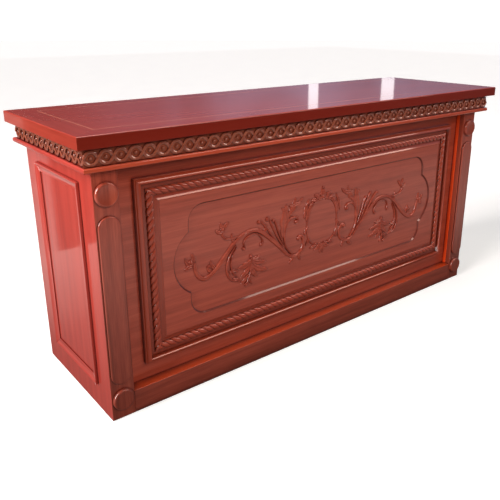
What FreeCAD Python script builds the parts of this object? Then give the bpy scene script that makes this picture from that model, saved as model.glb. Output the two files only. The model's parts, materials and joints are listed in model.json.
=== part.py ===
import FreeCAD, Part
import math
import os

# Conference table with a carved front, in millimetres.
# The origin is on the floor under the middle of the top. X runs along the table, the carved
# front faces -Y, the open side where people sit faces +Y, and Z is up.

# Overall size
table_length = 1600.0
table_depth = 500.0
table_height = 760.0

# Boards and the joints between them
board_thickness = 18.0
tongue_length = 8.0
tongue_thickness = 5.0
fit_gap = 0.2

# Top: a veneered field in a mitred border, with a string of inlay between them
top_thickness = 30.0
top_arris = 3.0
border_width = 70.0
field_thickness = 25.0
inlay_width = 3.0
inlay_depth = 2.0

# Cornice: carved frieze under the top, standing on a rounded ledge
top_overhang = 18.0
frieze_height = 45.0
ledge_thickness = 12.0
ledge_width = 50.0
ledge_setback = 15.0
ledge_nose = 4.0

# Guilloche carving on the frieze: rings of ribbon round a row of buttons
carving_height = 38.0
carving_lift = 1.0
carving_ground = 2.0
carving_relief = 4.0
guilloche_pitch = 36.0
eye_radius = 12.0
button_radius = 7.0
button_crown = 4.0
scallop_facets = 4
eye_facets = 6
button_facets = 6

# Body, measured in from the edges of the top
side_setback = 43.0
front_setback = 47.0
rear_setback = 20.0
front_recess = 33.0
plinth_height = 68.0
pilaster_width = 65.0

# Roundels and plaques on the pilasters
roundel_diameter = 60.0
roundel_thickness = 10.0
roundel_bevel = 4.0
roundel_foot = 28.0
roundel_head = 32.0
plaque_width = 58.0
plaque_thickness = 6.0
plaque_bevel = 3.0
plaque_gap_below = 17.0
plaque_gap_above = 23.0

# Moulded frame on the front board, with a rope let into it
frame_side_margin = 50.0
frame_head_margin = 44.0
frame_foot_margin = 50.0
frame_width = 65.0
frame_edge = 13.0
frame_fillet = 2.0
frame_seat = 9.0
ridge_inset = 14.0
ridge_height = 21.0
quirk_inset = 18.0
rope_inset = 28.0
rope_width = 22.0
rope_height = 9.5
rope_valley = 4.5
rope_edge = 3.0
rope_shoulder = 5.0
rope_pitch = 20.5
strand_flank = 6.5
cove_inset = 51.0
lip_width = 2.0
lip_height = 13.0

# Carved panel inside the frame, with a sunk cartouche
panel_thickness = 12.0
panel_tongue = 6.0
panel_movement = 1.0
cartouche_depth = 4.5
cartouche_end_margin = 36.0
cartouche_edge_margin = 33.0
cartouche_corner = 45.0
lobe_chord = 174.0
lobe_depth = 49.0

# Acanthus scroll left standing in the cartouche
scroll_end_margin = 36.0
scroll_edge_margin = 16.0
stem_height = 5.0
leaf_height = 3.8
bud_height = 6.0
bud_facets = 6
stem_smoothness = 0.8
leaf_belly = 0.35
leaf_neck = 0.75
leaf_narrowing = 0.6

# One half of the scroll on its drawing: X outwards from the middle of the panel, Y up
drawing_half = 505.0
drawing_rise = 141.0
# Stems: width at the ends, width at the middle, and the points that the curve runs through
drawn_stems = {
    "main scroll, outer": (7, 16, [(487, -6), (479, -40), (449, -61), (406, -42), (348, 17), (291, 46)]),
    "main scroll, middle": (10, 15, [(300, 45), (271, 43), (222, 13), (149, -56)]),
    "main scroll, inner": (8, 13, [(165, -42), (149, -56), (118, -69), (84, -45), (92, -10)]),
    "inner scroll": (6, 10, [(88, 36), (110, 54), (144, 36), (154, -20), (132, -64)]),
    "outer sprig": (5, 8, [(318, 40), (352, 40), (376, 51), (386, 70)]),
    "hanging frond": (5, 11, [(345, 18), (364, -21), (365, -64), (342, -91)]),
    "crest sprig": (5, 8, [(308, 4), (308, 26), (272, 34), (246, 6)]),
    "hanging stalk": (4, 8, [(284, -28), (292, -74), (306, -116)]),
    "oval": (8, 8, [(0, 99), (48, 84), (70, 30), (60, -40), (0, -66)]),
}
# Leaves: foot, tip, width
drawn_leaves = [
    ((180, -26), (252, 72), 16),
    ((172, -22), (221, 74), 16),
    ((168, -16), (196, 66), 16),
    ((158, 10), (152, 88), 18),
    ((146, 40), (120, 114), 20),
    ((132, 50), (84, 114), 18),
    ((66, 52), (50, 94), 16),
    ((0, 96), (0, 132), 18),
    ((14, 92), (36, 112), 16),
    ((10, -62), (36, -84), 16),
    ((378, 52), (362, 88), 14),
    ((288, -40), (334, -62), 18),
    ((290, -46), (268, -104), 20),
    ((282, -36), (206, -106), 20),
    ((276, -30), (226, -56), 16),
    ((366, -58), (334, -78), 14),
]
# Buds: place and radius
drawn_buds = [
    ((494, 2), 11),
    ((426, -30), 8),
    ((387, 72), 10),
    ((246, 4), 9),
    ((94, -6), 10),
    ((88, 34), 9),
    ((306, -118), 9),
    ((0, 100), 10),
    ((0, 135), 6),
]

# Applied mouldings on the ends of the table
side_moulding_width = 23.0
side_moulding_edge = 8.0
side_moulding_inner = 3.0
side_moulding_flat = 4.0
side_margin = 75.0
side_foot_margin = 77.0
side_head_margin = 43.0

# Inside of the body
shelf_clear = 140.0
shelf_depth = 300.0
cleat = 20.0
cleat_setback = 20.0
glide_size = 16.0
glide_height = 2.0
glide_inset = 40.0

# Places that follow from the sizes above
half_length = table_length / 2
half_depth = table_depth / 2
top_underside = table_height - top_thickness
frieze_foot = top_underside - frieze_height
body_height = frieze_foot - ledge_thickness
body_half = half_length - side_setback
body_front = front_setback - half_depth
body_rear = half_depth - rear_setback
board_face = body_front + front_recess
board_back = board_face + board_thickness
inner_half = body_half - board_thickness
pilaster_inner = body_half - pilaster_width
carving_thickness = carving_ground + carving_relief
frieze_half = half_length - top_overhang - carving_thickness
frieze_front = top_overhang + carving_thickness - half_depth
shelf_top = body_height - shelf_clear
shelf_underside = shelf_top - board_thickness
shelf_rear = board_back + shelf_depth
frame_half = pilaster_inner - frame_side_margin
frame_foot = plinth_height + frame_foot_margin
frame_head = body_height - frame_head_margin
panel_half = frame_half - frame_width
panel_rise = (frame_head - frame_foot) / 2 - frame_width
panel_centre = (frame_head + frame_foot) / 2
cartouche_half = panel_half - cartouche_end_margin
cartouche_rise = panel_rise - cartouche_edge_margin

ORIGIN = FreeCAD.Vector(0, 0, 0)
AXIS_X = FreeCAD.Vector(1, 0, 0)
AXIS_Y = FreeCAD.Vector(0, 1, 0)
AXIS_Z = FreeCAD.Vector(0, 0, 1)


def box(x0, x1, y0, y1, z0, z1):
    """A board between two corners."""
    return Part.makeBox(x1 - x0, y1 - y0, z1 - z0, FreeCAD.Vector(x0, y0, z0))


def in_plan(x, y):
    """A point of a plan, on Z = 0."""
    return FreeCAD.Vector(x, y, 0)


def in_section(inward, outward):
    """A point of a moulding's section, on X = 0."""
    return FreeCAD.Vector(0, inward, outward)


def outline(steps, point):
    """A face inside a closed outline. A step is a corner, or an arc given as (middle, end)."""
    edges = []
    here = steps[0]
    for step in steps[1:]:
        if isinstance(step[0], tuple):
            middle, end = step
            edges.append(Part.Arc(point(*here), point(*middle), point(*end)).toShape())
        else:
            end = step
            edges.append(Part.makeLine(point(*here), point(*end)))
        here = end
    if here != steps[0]:
        edges.append(Part.makeLine(point(*here), point(*steps[0])))
    return Part.Face(Part.Wire(edges))


def arc_middle(level, steep):
    """The middle of the arc that leaves the first point level and ends at the second."""
    reach = steep[0] - level[0]
    rise = steep[1] - level[1]
    radius = (reach * reach + rise * rise) / (2 * abs(rise))
    turn = math.atan2(abs(rise), abs(reach))
    middle_reach = math.copysign(radius * math.sin(turn), reach)
    middle_rise = math.copysign(radius * (1 - math.cos(turn)), rise)
    return (level[0] + middle_reach, level[1] + middle_rise)


def prism(steps, z0, z1):
    """A prism with the given plan, standing between two heights."""
    solid = outline(steps, in_plan).extrude(AXIS_Z * (z1 - z0))
    solid.translate(AXIS_Z * z0)
    return solid


def mirrored(shape):
    """The same piece for the other end of the table."""
    return shape.mirror(ORIGIN, AXIS_X)


def placed(shape, origin, along, inward):
    """The shape with its X and Y axes turned to along and inward, moved to origin."""
    outward = along.cross(inward)
    turn = FreeCAD.Matrix(
        along.x, inward.x, outward.x, origin.x,
        along.y, inward.y, outward.y, origin.y,
        along.z, inward.z, outward.z, origin.z,
    )
    piece = shape.copy()
    piece.Placement = FreeCAD.Placement(turn)
    return piece


def mitred(stick, length, width, height):
    """A stick along X with its outer edge on Y = 0, cut to a mitre at both ends."""
    plan = [(0, 0), (length, 0), (length - width, width), (width, width)]
    return stick.common(prism(plan, -height, 2 * height))


def moulding(section, width):
    """A function that makes a mitred moulding of the given section at any length."""
    face = outline(section, in_section)
    height = face.BoundBox.ZMax

    def cut_to(length):
        return mitred(face.extrude(AXIS_X * length), length, width, height)

    return cut_to


def four_sides(cut_to, corner, across, up, width, height):
    """Mitred pieces round a rectangle, each turned with its outer edge to the outside."""
    far = corner + across * width
    return {
        "bottom": placed(cut_to(width), corner, across, up),
        "right": placed(cut_to(height), far, up, -across),
        "top": placed(cut_to(width), far + up * height, -across, -up),
        "left": placed(cut_to(height), corner + up * height, -up, across),
    }


def flat_frame(prefix, cut_to, half_x, front, rear, z):
    """Mitred pieces round a horizontal rectangle, named by the side of the table."""
    corner = FreeCAD.Vector(-half_x, front, z)
    sides = four_sides(cut_to, corner, AXIS_X, AXIS_Y, 2 * half_x, rear - front)
    names = {"bottom": "front", "right": "right", "top": "rear", "left": "left"}
    return {f"{prefix}_{names[side]}": piece for side, piece in sides.items()}


def tongued_board(half_x, front, rear, z0, z1):
    """A board with a tongue at mid-thickness along all four edges."""
    reach = tongue_length - fit_gap
    tongue_foot = (z0 + z1 - tongue_thickness) / 2
    tongue_head = tongue_foot + tongue_thickness
    board = box(-half_x, half_x, front, rear, z0, z1)
    return board.fuse(
        box(-half_x - reach, half_x + reach, front - reach, rear + reach, tongue_foot, tongue_head)
    )


def make_top():
    """Field board tongued into a mitred border, with the inlay string let in between."""
    groove_foot = top_thickness - (field_thickness + tongue_thickness) / 2
    groove_head = groove_foot + tongue_thickness
    groove_floor = border_width - tongue_length
    inlay_foot = top_thickness - inlay_depth
    arris_end = (top_arris, top_thickness)
    section = [
        (0, 0),
        (0, top_thickness - top_arris),
        (arc_middle(arris_end, (0, top_thickness - top_arris)), arris_end),
        (border_width - inlay_width, top_thickness),
        (border_width - inlay_width, inlay_foot),
        (border_width, inlay_foot),
        (border_width, groove_head),
        (groove_floor, groove_head),
        (groove_floor, groove_foot),
        (border_width, groove_foot),
        (border_width, 0),
    ]
    border = moulding(section, border_width)
    pieces = flat_frame("top_border", border, half_length, -half_depth, half_depth, top_underside)
    string = moulding(
        [(0, 0), (0, inlay_depth), (inlay_width, inlay_depth), (inlay_width, 0)], inlay_width
    )
    string_half = half_length - border_width + inlay_width
    string_rear = half_depth - border_width + inlay_width
    strings = flat_frame(
        "inlay", string, string_half, -string_rear, string_rear, table_height - inlay_depth
    )
    pieces["top_inlay"] = Part.makeCompound(list(strings.values()))
    field_half = half_length - border_width
    field_rear = half_depth - border_width
    pieces["top_field"] = tongued_board(
        field_half, -field_rear, field_rear, table_height - field_thickness, table_height
    )
    return pieces


def make_ledge():
    """Rounded ledge under the frieze and the sub-top board tongued into it."""
    groove_foot = (ledge_thickness - tongue_thickness) / 2
    groove_head = groove_foot + tongue_thickness
    groove_floor = ledge_width - tongue_length
    nose_end = (ledge_nose, ledge_thickness)
    section = [
        (ledge_nose / 2, 0),
        (0, ledge_nose / 2),
        (0, ledge_thickness - ledge_nose),
        (arc_middle(nose_end, (0, ledge_thickness - ledge_nose)), nose_end),
        (ledge_width, ledge_thickness),
        (ledge_width, groove_head),
        (groove_floor, groove_head),
        (groove_floor, groove_foot),
        (ledge_width, groove_foot),
        (ledge_width, 0),
    ]
    ledge_half = half_length - ledge_setback
    ledge_front = ledge_setback - half_depth
    ledge = moulding(section, ledge_width)
    pieces = flat_frame("ledge", ledge, ledge_half, ledge_front, half_depth, body_height)
    pieces["sub_top"] = tongued_board(
        ledge_half - ledge_width,
        ledge_front + ledge_width,
        half_depth - ledge_width,
        body_height,
        frieze_foot,
    )
    return pieces


def make_frieze():
    """Boards that carry the top on the ledge, mitred at the two front corners."""
    inner = frieze_half - board_thickness
    behind = frieze_front + board_thickness
    front = [(-frieze_half, frieze_front), (frieze_half, frieze_front), (inner, behind), (-inner, behind)]
    side = [(-frieze_half, frieze_front), (-inner, behind), (-inner, body_rear), (-frieze_half, body_rear)]
    left = prism(side, frieze_foot, top_underside)
    return {
        "frieze_front": prism(front, frieze_foot, top_underside),
        "frieze_left": left,
        "frieze_right": mirrored(left),
        "frieze_rear": box(
            -inner, inner, body_rear - board_thickness, body_rear, frieze_foot, top_underside
        ),
    }


def regular(radius, facets, x, y):
    """The corners of a regular polygon round a point."""
    turns = [2 * math.pi * (k + 0.5) / facets for k in range(facets)]
    return [(x + radius * math.cos(turn), y + radius * math.sin(turn)) for turn in turns]


def flat_solid(rings):
    """A solid with flat faces between two rings of corners, one above the other."""
    lower, upper = rings
    count = len(lower)
    faces = [Part.Face(Part.makePolygon(ring + ring[:1])) for ring in rings]
    for k in range(count):
        after = (k + 1) % count
        corners = [lower[k], lower[after], upper[after], upper[k], lower[k]]
        faces.append(Part.Face(Part.makePolygon(corners)))
    return Part.Solid(Part.Shell(faces))


def button(x):
    """A faceted button on the carving's ground, tapering to its crown."""
    foot = [FreeCAD.Vector(*at, carving_ground) for at in regular(button_radius, button_facets, x, 0)]
    crown = [FreeCAD.Vector(*at, carving_thickness) for at in regular(button_crown, button_facets, x, 0)]
    return flat_solid([foot, crown])


def guilloche(length):
    """A carved strip along X: ribbons that run round a row of buttons, on a thin ground."""
    count = round(length / guilloche_pitch)
    pitch = length / count
    centres = [(k + 0.5) * pitch for k in range(count)]
    radius = carving_height / 2
    start = math.acos(min(1.0, pitch / 2 / radius))
    sweep = (math.pi - 2 * start) / scallop_facets
    edge = [(0.0, radius * math.sin(start))]
    for centre in centres:
        for j in range(1, scallop_facets + 1):
            turn = math.pi - start - j * sweep
            edge.append((centre + radius * math.cos(turn), radius * math.sin(turn)))
    ribbons = outline(edge + [(x, -y) for x, y in reversed(edge)], in_plan)
    eyes = [outline(regular(eye_radius, eye_facets, centre, 0), in_plan) for centre in centres]
    rings = ribbons.cut(Part.makeCompound(eyes)).extrude(AXIS_Z * carving_relief)
    rings.translate(AXIS_Z * carving_ground)
    ground = box(0, length, -radius, radius, 0, carving_ground)
    return ground.multiFuse([rings] + [button(centre) for centre in centres]).removeSplitter()


def make_guilloche():
    """Carved strips on the front and the two ends of the frieze."""
    level = frieze_foot + carving_lift + carving_height / 2
    front_half = frieze_half + carving_thickness
    front = guilloche(2 * front_half)
    side = guilloche(body_rear - frieze_front)
    return {
        "guilloche_front": placed(
            front, FreeCAD.Vector(-front_half, frieze_front, level), AXIS_X, AXIS_Z
        ),
        "guilloche_left": placed(side, FreeCAD.Vector(-frieze_half, body_rear, level), -AXIS_Y, AXIS_Z),
        "guilloche_right": placed(side, FreeCAD.Vector(frieze_half, frieze_front, level), AXIS_Y, AXIS_Z),
    }


def make_carcass():
    """End panels mitred to the pilasters, the recessed front board and the plinth rail."""
    behind = body_front + board_thickness
    end = [(body_half, body_front), (body_half, body_rear), (inner_half, body_rear), (inner_half, behind)]
    post = [
        (pilaster_inner, body_front),
        (body_half, body_front),
        (inner_half, behind),
        (pilaster_inner, behind),
    ]
    right_end = prism(end, glide_height, body_height)
    right_post = prism(post, glide_height, body_height)
    right_return = box(
        pilaster_inner, pilaster_inner + board_thickness, behind, board_face, glide_height, body_height
    )
    return {
        "side_panel_left": mirrored(right_end),
        "side_panel_right": right_end,
        "pilaster_left": mirrored(right_post),
        "pilaster_right": right_post,
        "pilaster_return_left": mirrored(right_return),
        "pilaster_return_right": right_return,
        "front_board": box(-inner_half, inner_half, board_face, board_back, glide_height, body_height),
        "plinth_rail": box(
            -pilaster_inner, pilaster_inner, body_front, board_face, glide_height, plinth_height
        ),
    }


def make_roundel():
    """A turned disc with a bevelled rim, standing on Z = 0."""
    radius = roundel_diameter / 2
    section = [
        (0, 0),
        (radius, 0),
        (radius, roundel_thickness - roundel_bevel),
        (radius - roundel_bevel, roundel_thickness),
        (0, roundel_thickness),
    ]
    return outline(section, in_section).revolve(ORIGIN, AXIS_Z, 360)


def make_plaque(length):
    """A plaque with half-round ends and a bevelled edge, lying along X on Z = 0."""
    radius = plaque_width / 2
    straight = length / 2 - radius
    plan = [
        (-straight, -radius),
        (straight, -radius),
        ((straight + radius, 0), (straight, radius)),
        (-straight, radius),
        ((-straight - radius, 0), (-straight, -radius)),
    ]
    plaque = prism(plan, 0, plaque_thickness)
    rim = [edge for edge in plaque.Edges if edge.BoundBox.ZMin > plaque_thickness / 2]
    return plaque.makeChamfer(plaque_bevel, rim)


def make_pilaster_trim():
    """Two roundels and a plaque on the face of each pilaster."""
    centre = (pilaster_inner + body_half) / 2
    radius = roundel_diameter / 2
    lower = roundel_foot + radius
    upper = body_height - roundel_head - radius
    plaque_foot = lower + radius + plaque_gap_below
    plaque_head = upper - radius - plaque_gap_above
    plaque = make_plaque(plaque_head - plaque_foot)
    plaque_centre = (plaque_foot + plaque_head) / 2
    pieces = {}
    for side, x in (("left", -centre), ("right", centre)):
        spots = [FreeCAD.Vector(x, body_front, z) for z in (lower, upper)]
        pair = [placed(make_roundel(), spot, AXIS_X, AXIS_Z) for spot in spots]
        pieces[f"roundels_{side}"] = Part.makeCompound(pair)
        spot = FreeCAD.Vector(x, body_front, plaque_centre)
        pieces[f"plaque_{side}"] = placed(plaque, spot, AXIS_Z, -AXIS_X)
    return pieces


def frame_section():
    """Outer band with a sharp ridge, flat seat for the rope, and a cove up to the panel."""
    band_start = (frame_fillet, frame_edge)
    ridge = (ridge_inset, ridge_height)
    cove_start = (cove_inset, frame_seat)
    lip = (frame_width - lip_width, lip_height)
    rebate = frame_width - tongue_length - panel_movement
    return [
        (0, 0),
        (0, frame_edge),
        band_start,
        (arc_middle(ridge, band_start), ridge),
        (quirk_inset, frame_seat),
        cove_start,
        (arc_middle(cove_start, lip), lip),
        (frame_width, lip_height),
        (frame_width, panel_tongue),
        (rebate, panel_tongue),
        (rebate, 0),
    ]


def rope(length):
    """A flat-backed rope moulding along X, its strands crossing it at 45 degrees."""
    count = round(length / rope_pitch)
    pitch = length / count
    last = count + math.ceil(rope_width / pitch)
    strands = [(-pitch, 0)]
    for k in range(-1, last):
        strands.append((k * pitch, rope_valley))
        strands.append((k * pitch + strand_flank, rope_height))
        strands.append(((k + 1) * pitch - strand_flank, rope_height))
    strands.append((last * pitch, rope_valley))
    strands.append((last * pitch, 0))
    waves = outline(strands, lambda x, z: FreeCAD.Vector(x, 0, z))
    twisted = waves.extrude(FreeCAD.Vector(-rope_width, rope_width, 0))
    section = [
        (0, 0),
        (0, rope_edge),
        (rope_shoulder, rope_height),
        (rope_width - rope_shoulder, rope_height),
        (rope_width, rope_edge),
        (rope_width, 0),
    ]
    bar = outline(section, in_section).extrude(AXIS_X * length)
    return mitred(bar.common(twisted), length, rope_width, rope_height)


def make_front_frame():
    """Moulded frame on the front board and the rope let into its seat."""
    height = frame_head - frame_foot
    corner = FreeCAD.Vector(-frame_half, board_face, frame_foot)
    cut_to = moulding(frame_section(), frame_width)
    sides = four_sides(cut_to, corner, AXIS_X, AXIS_Z, 2 * frame_half, height)
    pieces = {f"frame_{side}": piece for side, piece in sides.items()}
    rope_corner = corner + FreeCAD.Vector(rope_inset, -frame_seat, rope_inset)
    rope_length = 2 * (frame_half - rope_inset)
    ropes = four_sides(rope, rope_corner, AXIS_X, AXIS_Z, rope_length, height - 2 * rope_inset)
    pieces.update({f"rope_{side}": piece for side, piece in ropes.items()})
    return pieces


def cartouche():
    """The sunk field's outline: straight sides, rounded corners and a lobe at each end."""
    shoulder = cartouche_half - lobe_depth
    chord = lobe_chord / 2
    run = shoulder - cartouche_corner
    fall = cartouche_rise - cartouche_corner
    drop = cartouche_corner * (1 - math.sqrt(0.5))
    near = shoulder - drop
    high = cartouche_rise - drop
    return [
        (-run, cartouche_rise),
        (run, cartouche_rise),
        ((near, high), (shoulder, fall)),
        (shoulder, chord),
        ((cartouche_half, 0), (shoulder, -chord)),
        (shoulder, -fall),
        ((near, -high), (run, -cartouche_rise)),
        (-run, -cartouche_rise),
        ((-near, -high), (-shoulder, -fall)),
        (-shoulder, -chord),
        ((-cartouche_half, 0), (-shoulder, chord)),
        (-shoulder, fall),
        ((-near, high), (-run, cartouche_rise)),
    ]


def drawn(x, y):
    """A point of the scroll's drawing, stretched to the cartouche."""
    across = (cartouche_half - scroll_end_margin) / drawing_half
    up = (cartouche_rise - scroll_edge_margin) / drawing_rise
    return FreeCAD.Vector(x * across, y * up, 0)


def raised(corners, height):
    """A piece of carving with the given outline, standing on the floor of the cartouche."""
    foot = (panel_thickness - cartouche_depth) / 2
    shape = Part.Face(Part.makePolygon(corners + corners[:1]))
    shape.translate(AXIS_Z * foot)
    return shape.extrude(AXIS_Z * (panel_thickness - cartouche_depth + height - foot))


def stem(end_width, middle_width, points):
    """A ribbon along a smooth curve, widest at its middle."""
    curve = Part.BSplineCurve()
    curve.interpolate([drawn(*point) for point in points])
    path = curve.toShape().discretize(Deflection=stem_smoothness)
    last = len(path) - 1
    banks = ([], [])
    for k, here in enumerate(path):
        swell = math.sin(math.pi * k / last)
        half = (end_width + (middle_width - end_width) * swell) / 2
        ahead = path[min(k + 1, last)] - path[max(k - 1, 0)]
        across = AXIS_Z.cross(ahead).normalize() * half
        banks[0].append(here + across)
        banks[1].append(here - across)
    return raised(banks[0] + banks[1][::-1], stem_height)


def leaf(foot, tip, width):
    """A pointed leaf, widest near its foot."""
    start = drawn(*foot)
    along = drawn(*tip) - start
    side = AXIS_Z.cross(along).normalize() * (width / 2)
    narrow = side * leaf_narrowing
    belly = start + along * leaf_belly
    neck = start + along * leaf_neck
    corners = [start, belly - side, neck - narrow, start + along, neck + narrow, belly + side]
    return raised(corners, leaf_height)


def bud(place, radius):
    """A round bud at the end of a stem."""
    centre = drawn(*place)
    corners = [FreeCAD.Vector(x, y, 0) for x, y in regular(radius, bud_facets, centre.x, centre.y)]
    return raised(corners, bud_height)


def acanthus_scroll():
    """Stems, leaves and buds of one half, with their mirror image."""
    pieces = [stem(*drawing) for drawing in drawn_stems.values()]
    pieces += [leaf(*drawing) for drawing in drawn_leaves]
    pieces += [bud(*drawing) for drawing in drawn_buds]
    half = pieces[0].multiFuse(pieces[1:])
    return half.fuse(mirrored(half))


def make_carved_panel():
    """Solid panel held by the frame's rebate: a sunk cartouche with the scroll standing in it."""
    panel = box(-panel_half, panel_half, -panel_rise, panel_rise, 0, panel_thickness)
    reach_x = panel_half + tongue_length
    reach_z = panel_rise + tongue_length
    panel = panel.fuse(box(-reach_x, reach_x, -reach_z, reach_z, 0, panel_tongue))
    floor = panel_thickness - cartouche_depth
    panel = panel.cut(prism(cartouche(), floor, panel_thickness + cartouche_depth))
    panel = panel.fuse(acanthus_scroll()).removeSplitter()
    centre = FreeCAD.Vector(0, board_face, panel_centre)
    return {"carved_panel": placed(panel, centre, AXIS_X, AXIS_Z)}


def make_side_mouldings():
    """Mitred picture moulding on each end panel, high outside and hollowed inwards."""
    hollow_end = (side_moulding_width - side_moulding_flat, side_moulding_inner)
    hollow_start = (side_moulding_flat, side_moulding_edge)
    section = [
        (0, 0),
        (0, side_moulding_edge),
        hollow_start,
        (arc_middle(hollow_end, hollow_start), hollow_end),
        (side_moulding_width, side_moulding_inner),
        (side_moulding_width, 0),
    ]
    cut_to = moulding(section, side_moulding_width)
    front = body_front + side_margin
    rear = body_rear - side_margin
    height = body_height - side_head_margin - side_foot_margin
    left_corner = FreeCAD.Vector(-body_half, rear, side_foot_margin)
    right_corner = FreeCAD.Vector(body_half, front, side_foot_margin)
    left = four_sides(cut_to, left_corner, -AXIS_Y, AXIS_Z, rear - front, height)
    right = four_sides(cut_to, right_corner, AXIS_Y, AXIS_Z, rear - front, height)
    left_names = {"bottom": "bottom", "right": "front", "top": "top", "left": "rear"}
    right_names = {"bottom": "bottom", "right": "rear", "top": "top", "left": "front"}
    pieces = {f"side_moulding_left_{left_names[side]}": piece for side, piece in left.items()}
    pieces.update({f"side_moulding_right_{right_names[side]}": piece for side, piece in right.items()})
    return pieces


def make_inside():
    """Document shelf on cleats, its divider, and battens that tie the front board to the ends."""
    cleat_foot = shelf_underside - cleat
    cleat_front = board_back + cleat
    cleat_rear = shelf_rear - cleat_setback
    cleat_inner = inner_half - cleat
    right_cleat = box(cleat_inner, inner_half, cleat_front, cleat_rear, cleat_foot, shelf_underside)
    right_batten = box(cleat_inner, inner_half, board_back, cleat_front, glide_height, cleat_foot)
    half_board = board_thickness / 2
    return {
        "shelf": box(-inner_half, inner_half, board_back, shelf_rear, shelf_underside, shelf_top),
        "shelf_divider": box(-half_board, half_board, board_back, shelf_rear, shelf_top, body_height),
        "shelf_cleat_front": box(
            -inner_half, inner_half, board_back, cleat_front, cleat_foot, shelf_underside
        ),
        "shelf_cleat_left": mirrored(right_cleat),
        "shelf_cleat_right": right_cleat,
        "corner_batten_left": mirrored(right_batten),
        "corner_batten_right": right_batten,
    }


def make_glides():
    """Thin pads under the end panels and the plinth rail, which the table stands on."""
    end_x = body_half - board_thickness / 2
    rail_x = pilaster_inner - glide_inset
    rail_y = (body_front + board_face) / 2
    spots = [(x, y) for x in (-end_x, end_x) for y in (board_back, body_rear - glide_inset)]
    spots += [(-rail_x, rail_y), (rail_x, rail_y)]
    half = glide_size / 2
    pads = [box(x - half, x + half, y - half, y + half, 0, glide_height) for x, y in spots]
    return {"floor_glides": Part.makeCompound(pads)}


def main():
    pieces = {}
    for make in (
        make_top,
        make_ledge,
        make_frieze,
        make_guilloche,
        make_carcass,
        make_pilaster_trim,
        make_front_frame,
        make_carved_panel,
        make_side_mouldings,
        make_inside,
        make_glides,
    ):
        pieces.update(make())
    os.makedirs("parts", exist_ok=True)
    for name, shape in pieces.items():
        shape.exportStep(f"parts/{name}.step")
    print(len(pieces), "nodes")


main()
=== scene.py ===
# %% [markdown]
# # A conference table with a carved front
# The solids of the table come from its construction model. This lesson dresses them: it rounds the
# edges of the boards, carves the ornament, and gives every surface its wood and lacquer.
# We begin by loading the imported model. Its boards stay where they are, and each new piece is made
# in the same frame: metres, X along the table, the carved front towards -Y, Z up.

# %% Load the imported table
import bpy
import json
import math
from mathutils import Matrix, Vector

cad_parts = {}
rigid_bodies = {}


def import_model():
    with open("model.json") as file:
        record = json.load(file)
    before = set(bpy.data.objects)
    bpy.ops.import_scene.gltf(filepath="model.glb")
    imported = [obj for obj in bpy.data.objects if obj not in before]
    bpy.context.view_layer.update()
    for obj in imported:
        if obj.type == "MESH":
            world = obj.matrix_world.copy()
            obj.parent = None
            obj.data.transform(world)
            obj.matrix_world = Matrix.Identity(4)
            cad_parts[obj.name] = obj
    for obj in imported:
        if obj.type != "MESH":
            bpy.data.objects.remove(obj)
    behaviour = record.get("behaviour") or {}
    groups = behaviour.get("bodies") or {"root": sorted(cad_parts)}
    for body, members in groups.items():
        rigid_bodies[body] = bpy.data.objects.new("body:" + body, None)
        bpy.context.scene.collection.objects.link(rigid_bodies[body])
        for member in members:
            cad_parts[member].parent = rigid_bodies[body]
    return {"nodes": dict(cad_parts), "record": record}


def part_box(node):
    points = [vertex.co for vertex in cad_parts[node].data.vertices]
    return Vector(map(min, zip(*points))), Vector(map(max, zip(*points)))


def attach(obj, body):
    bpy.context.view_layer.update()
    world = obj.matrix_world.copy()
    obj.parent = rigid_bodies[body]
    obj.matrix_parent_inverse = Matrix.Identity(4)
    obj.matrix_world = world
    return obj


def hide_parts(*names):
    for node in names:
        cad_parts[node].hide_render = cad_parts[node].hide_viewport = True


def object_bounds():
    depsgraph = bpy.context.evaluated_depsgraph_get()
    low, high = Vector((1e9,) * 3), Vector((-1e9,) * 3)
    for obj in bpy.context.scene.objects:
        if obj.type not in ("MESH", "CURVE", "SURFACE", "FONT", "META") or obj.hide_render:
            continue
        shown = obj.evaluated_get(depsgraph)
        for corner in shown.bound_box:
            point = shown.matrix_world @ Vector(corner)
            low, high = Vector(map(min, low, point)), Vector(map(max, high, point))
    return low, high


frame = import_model()
cad_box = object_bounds()
MM = 0.001
print("nodes:", len(frame["nodes"]), "box:", [tuple(round(c, 3) for c in corner) for corner in cad_box])

# %% [markdown]
# ## Camera
# The photograph was taken with a normal lens from the front left, a little above the top. Its place
# and angles were found from the table's own edges. A small shift keeps the table where it sits in
# the picture, because the photograph was cropped off centre.

# %% Camera at the photograph's angle
CAMERA_PLACE = (-1.2814, -1.4855, 1.0001)
CAMERA_TURN = math.radians(-39.07)
CAMERA_TILT = math.radians(18.66)
CAMERA_ROLL = math.radians(0.16)
SENSOR_WIDTH = 36  # millimetres, as is the lens
LENS = 43.55
PICTURE_SHIFT = (-0.0362, -0.0563)
backward = Vector((
    math.sin(CAMERA_TURN) * math.cos(CAMERA_TILT),
    -math.cos(CAMERA_TURN) * math.cos(CAMERA_TILT),
    math.sin(CAMERA_TILT),
))
level_right = Vector((math.cos(CAMERA_TURN), math.sin(CAMERA_TURN), 0))
level_up = backward.cross(level_right)
right = level_right * math.cos(CAMERA_ROLL) + level_up * math.sin(CAMERA_ROLL)
up = level_up * math.cos(CAMERA_ROLL) - level_right * math.sin(CAMERA_ROLL)
camera_axes = Matrix((right, up, backward)).transposed()
bpy.ops.object.camera_add()
camera = bpy.context.object
camera.matrix_world = Matrix.Translation(CAMERA_PLACE) @ camera_axes.to_4x4()
camera.data.sensor_width = SENSOR_WIDTH
camera.data.lens = LENS
camera.data.shift_x = PICTURE_SHIFT[0]
camera.data.shift_y = PICTURE_SHIFT[1]
bpy.context.scene.camera = camera
print("camera", tuple(round(c, 3) for c in camera.location), "lens", camera.data.lens)

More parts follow.
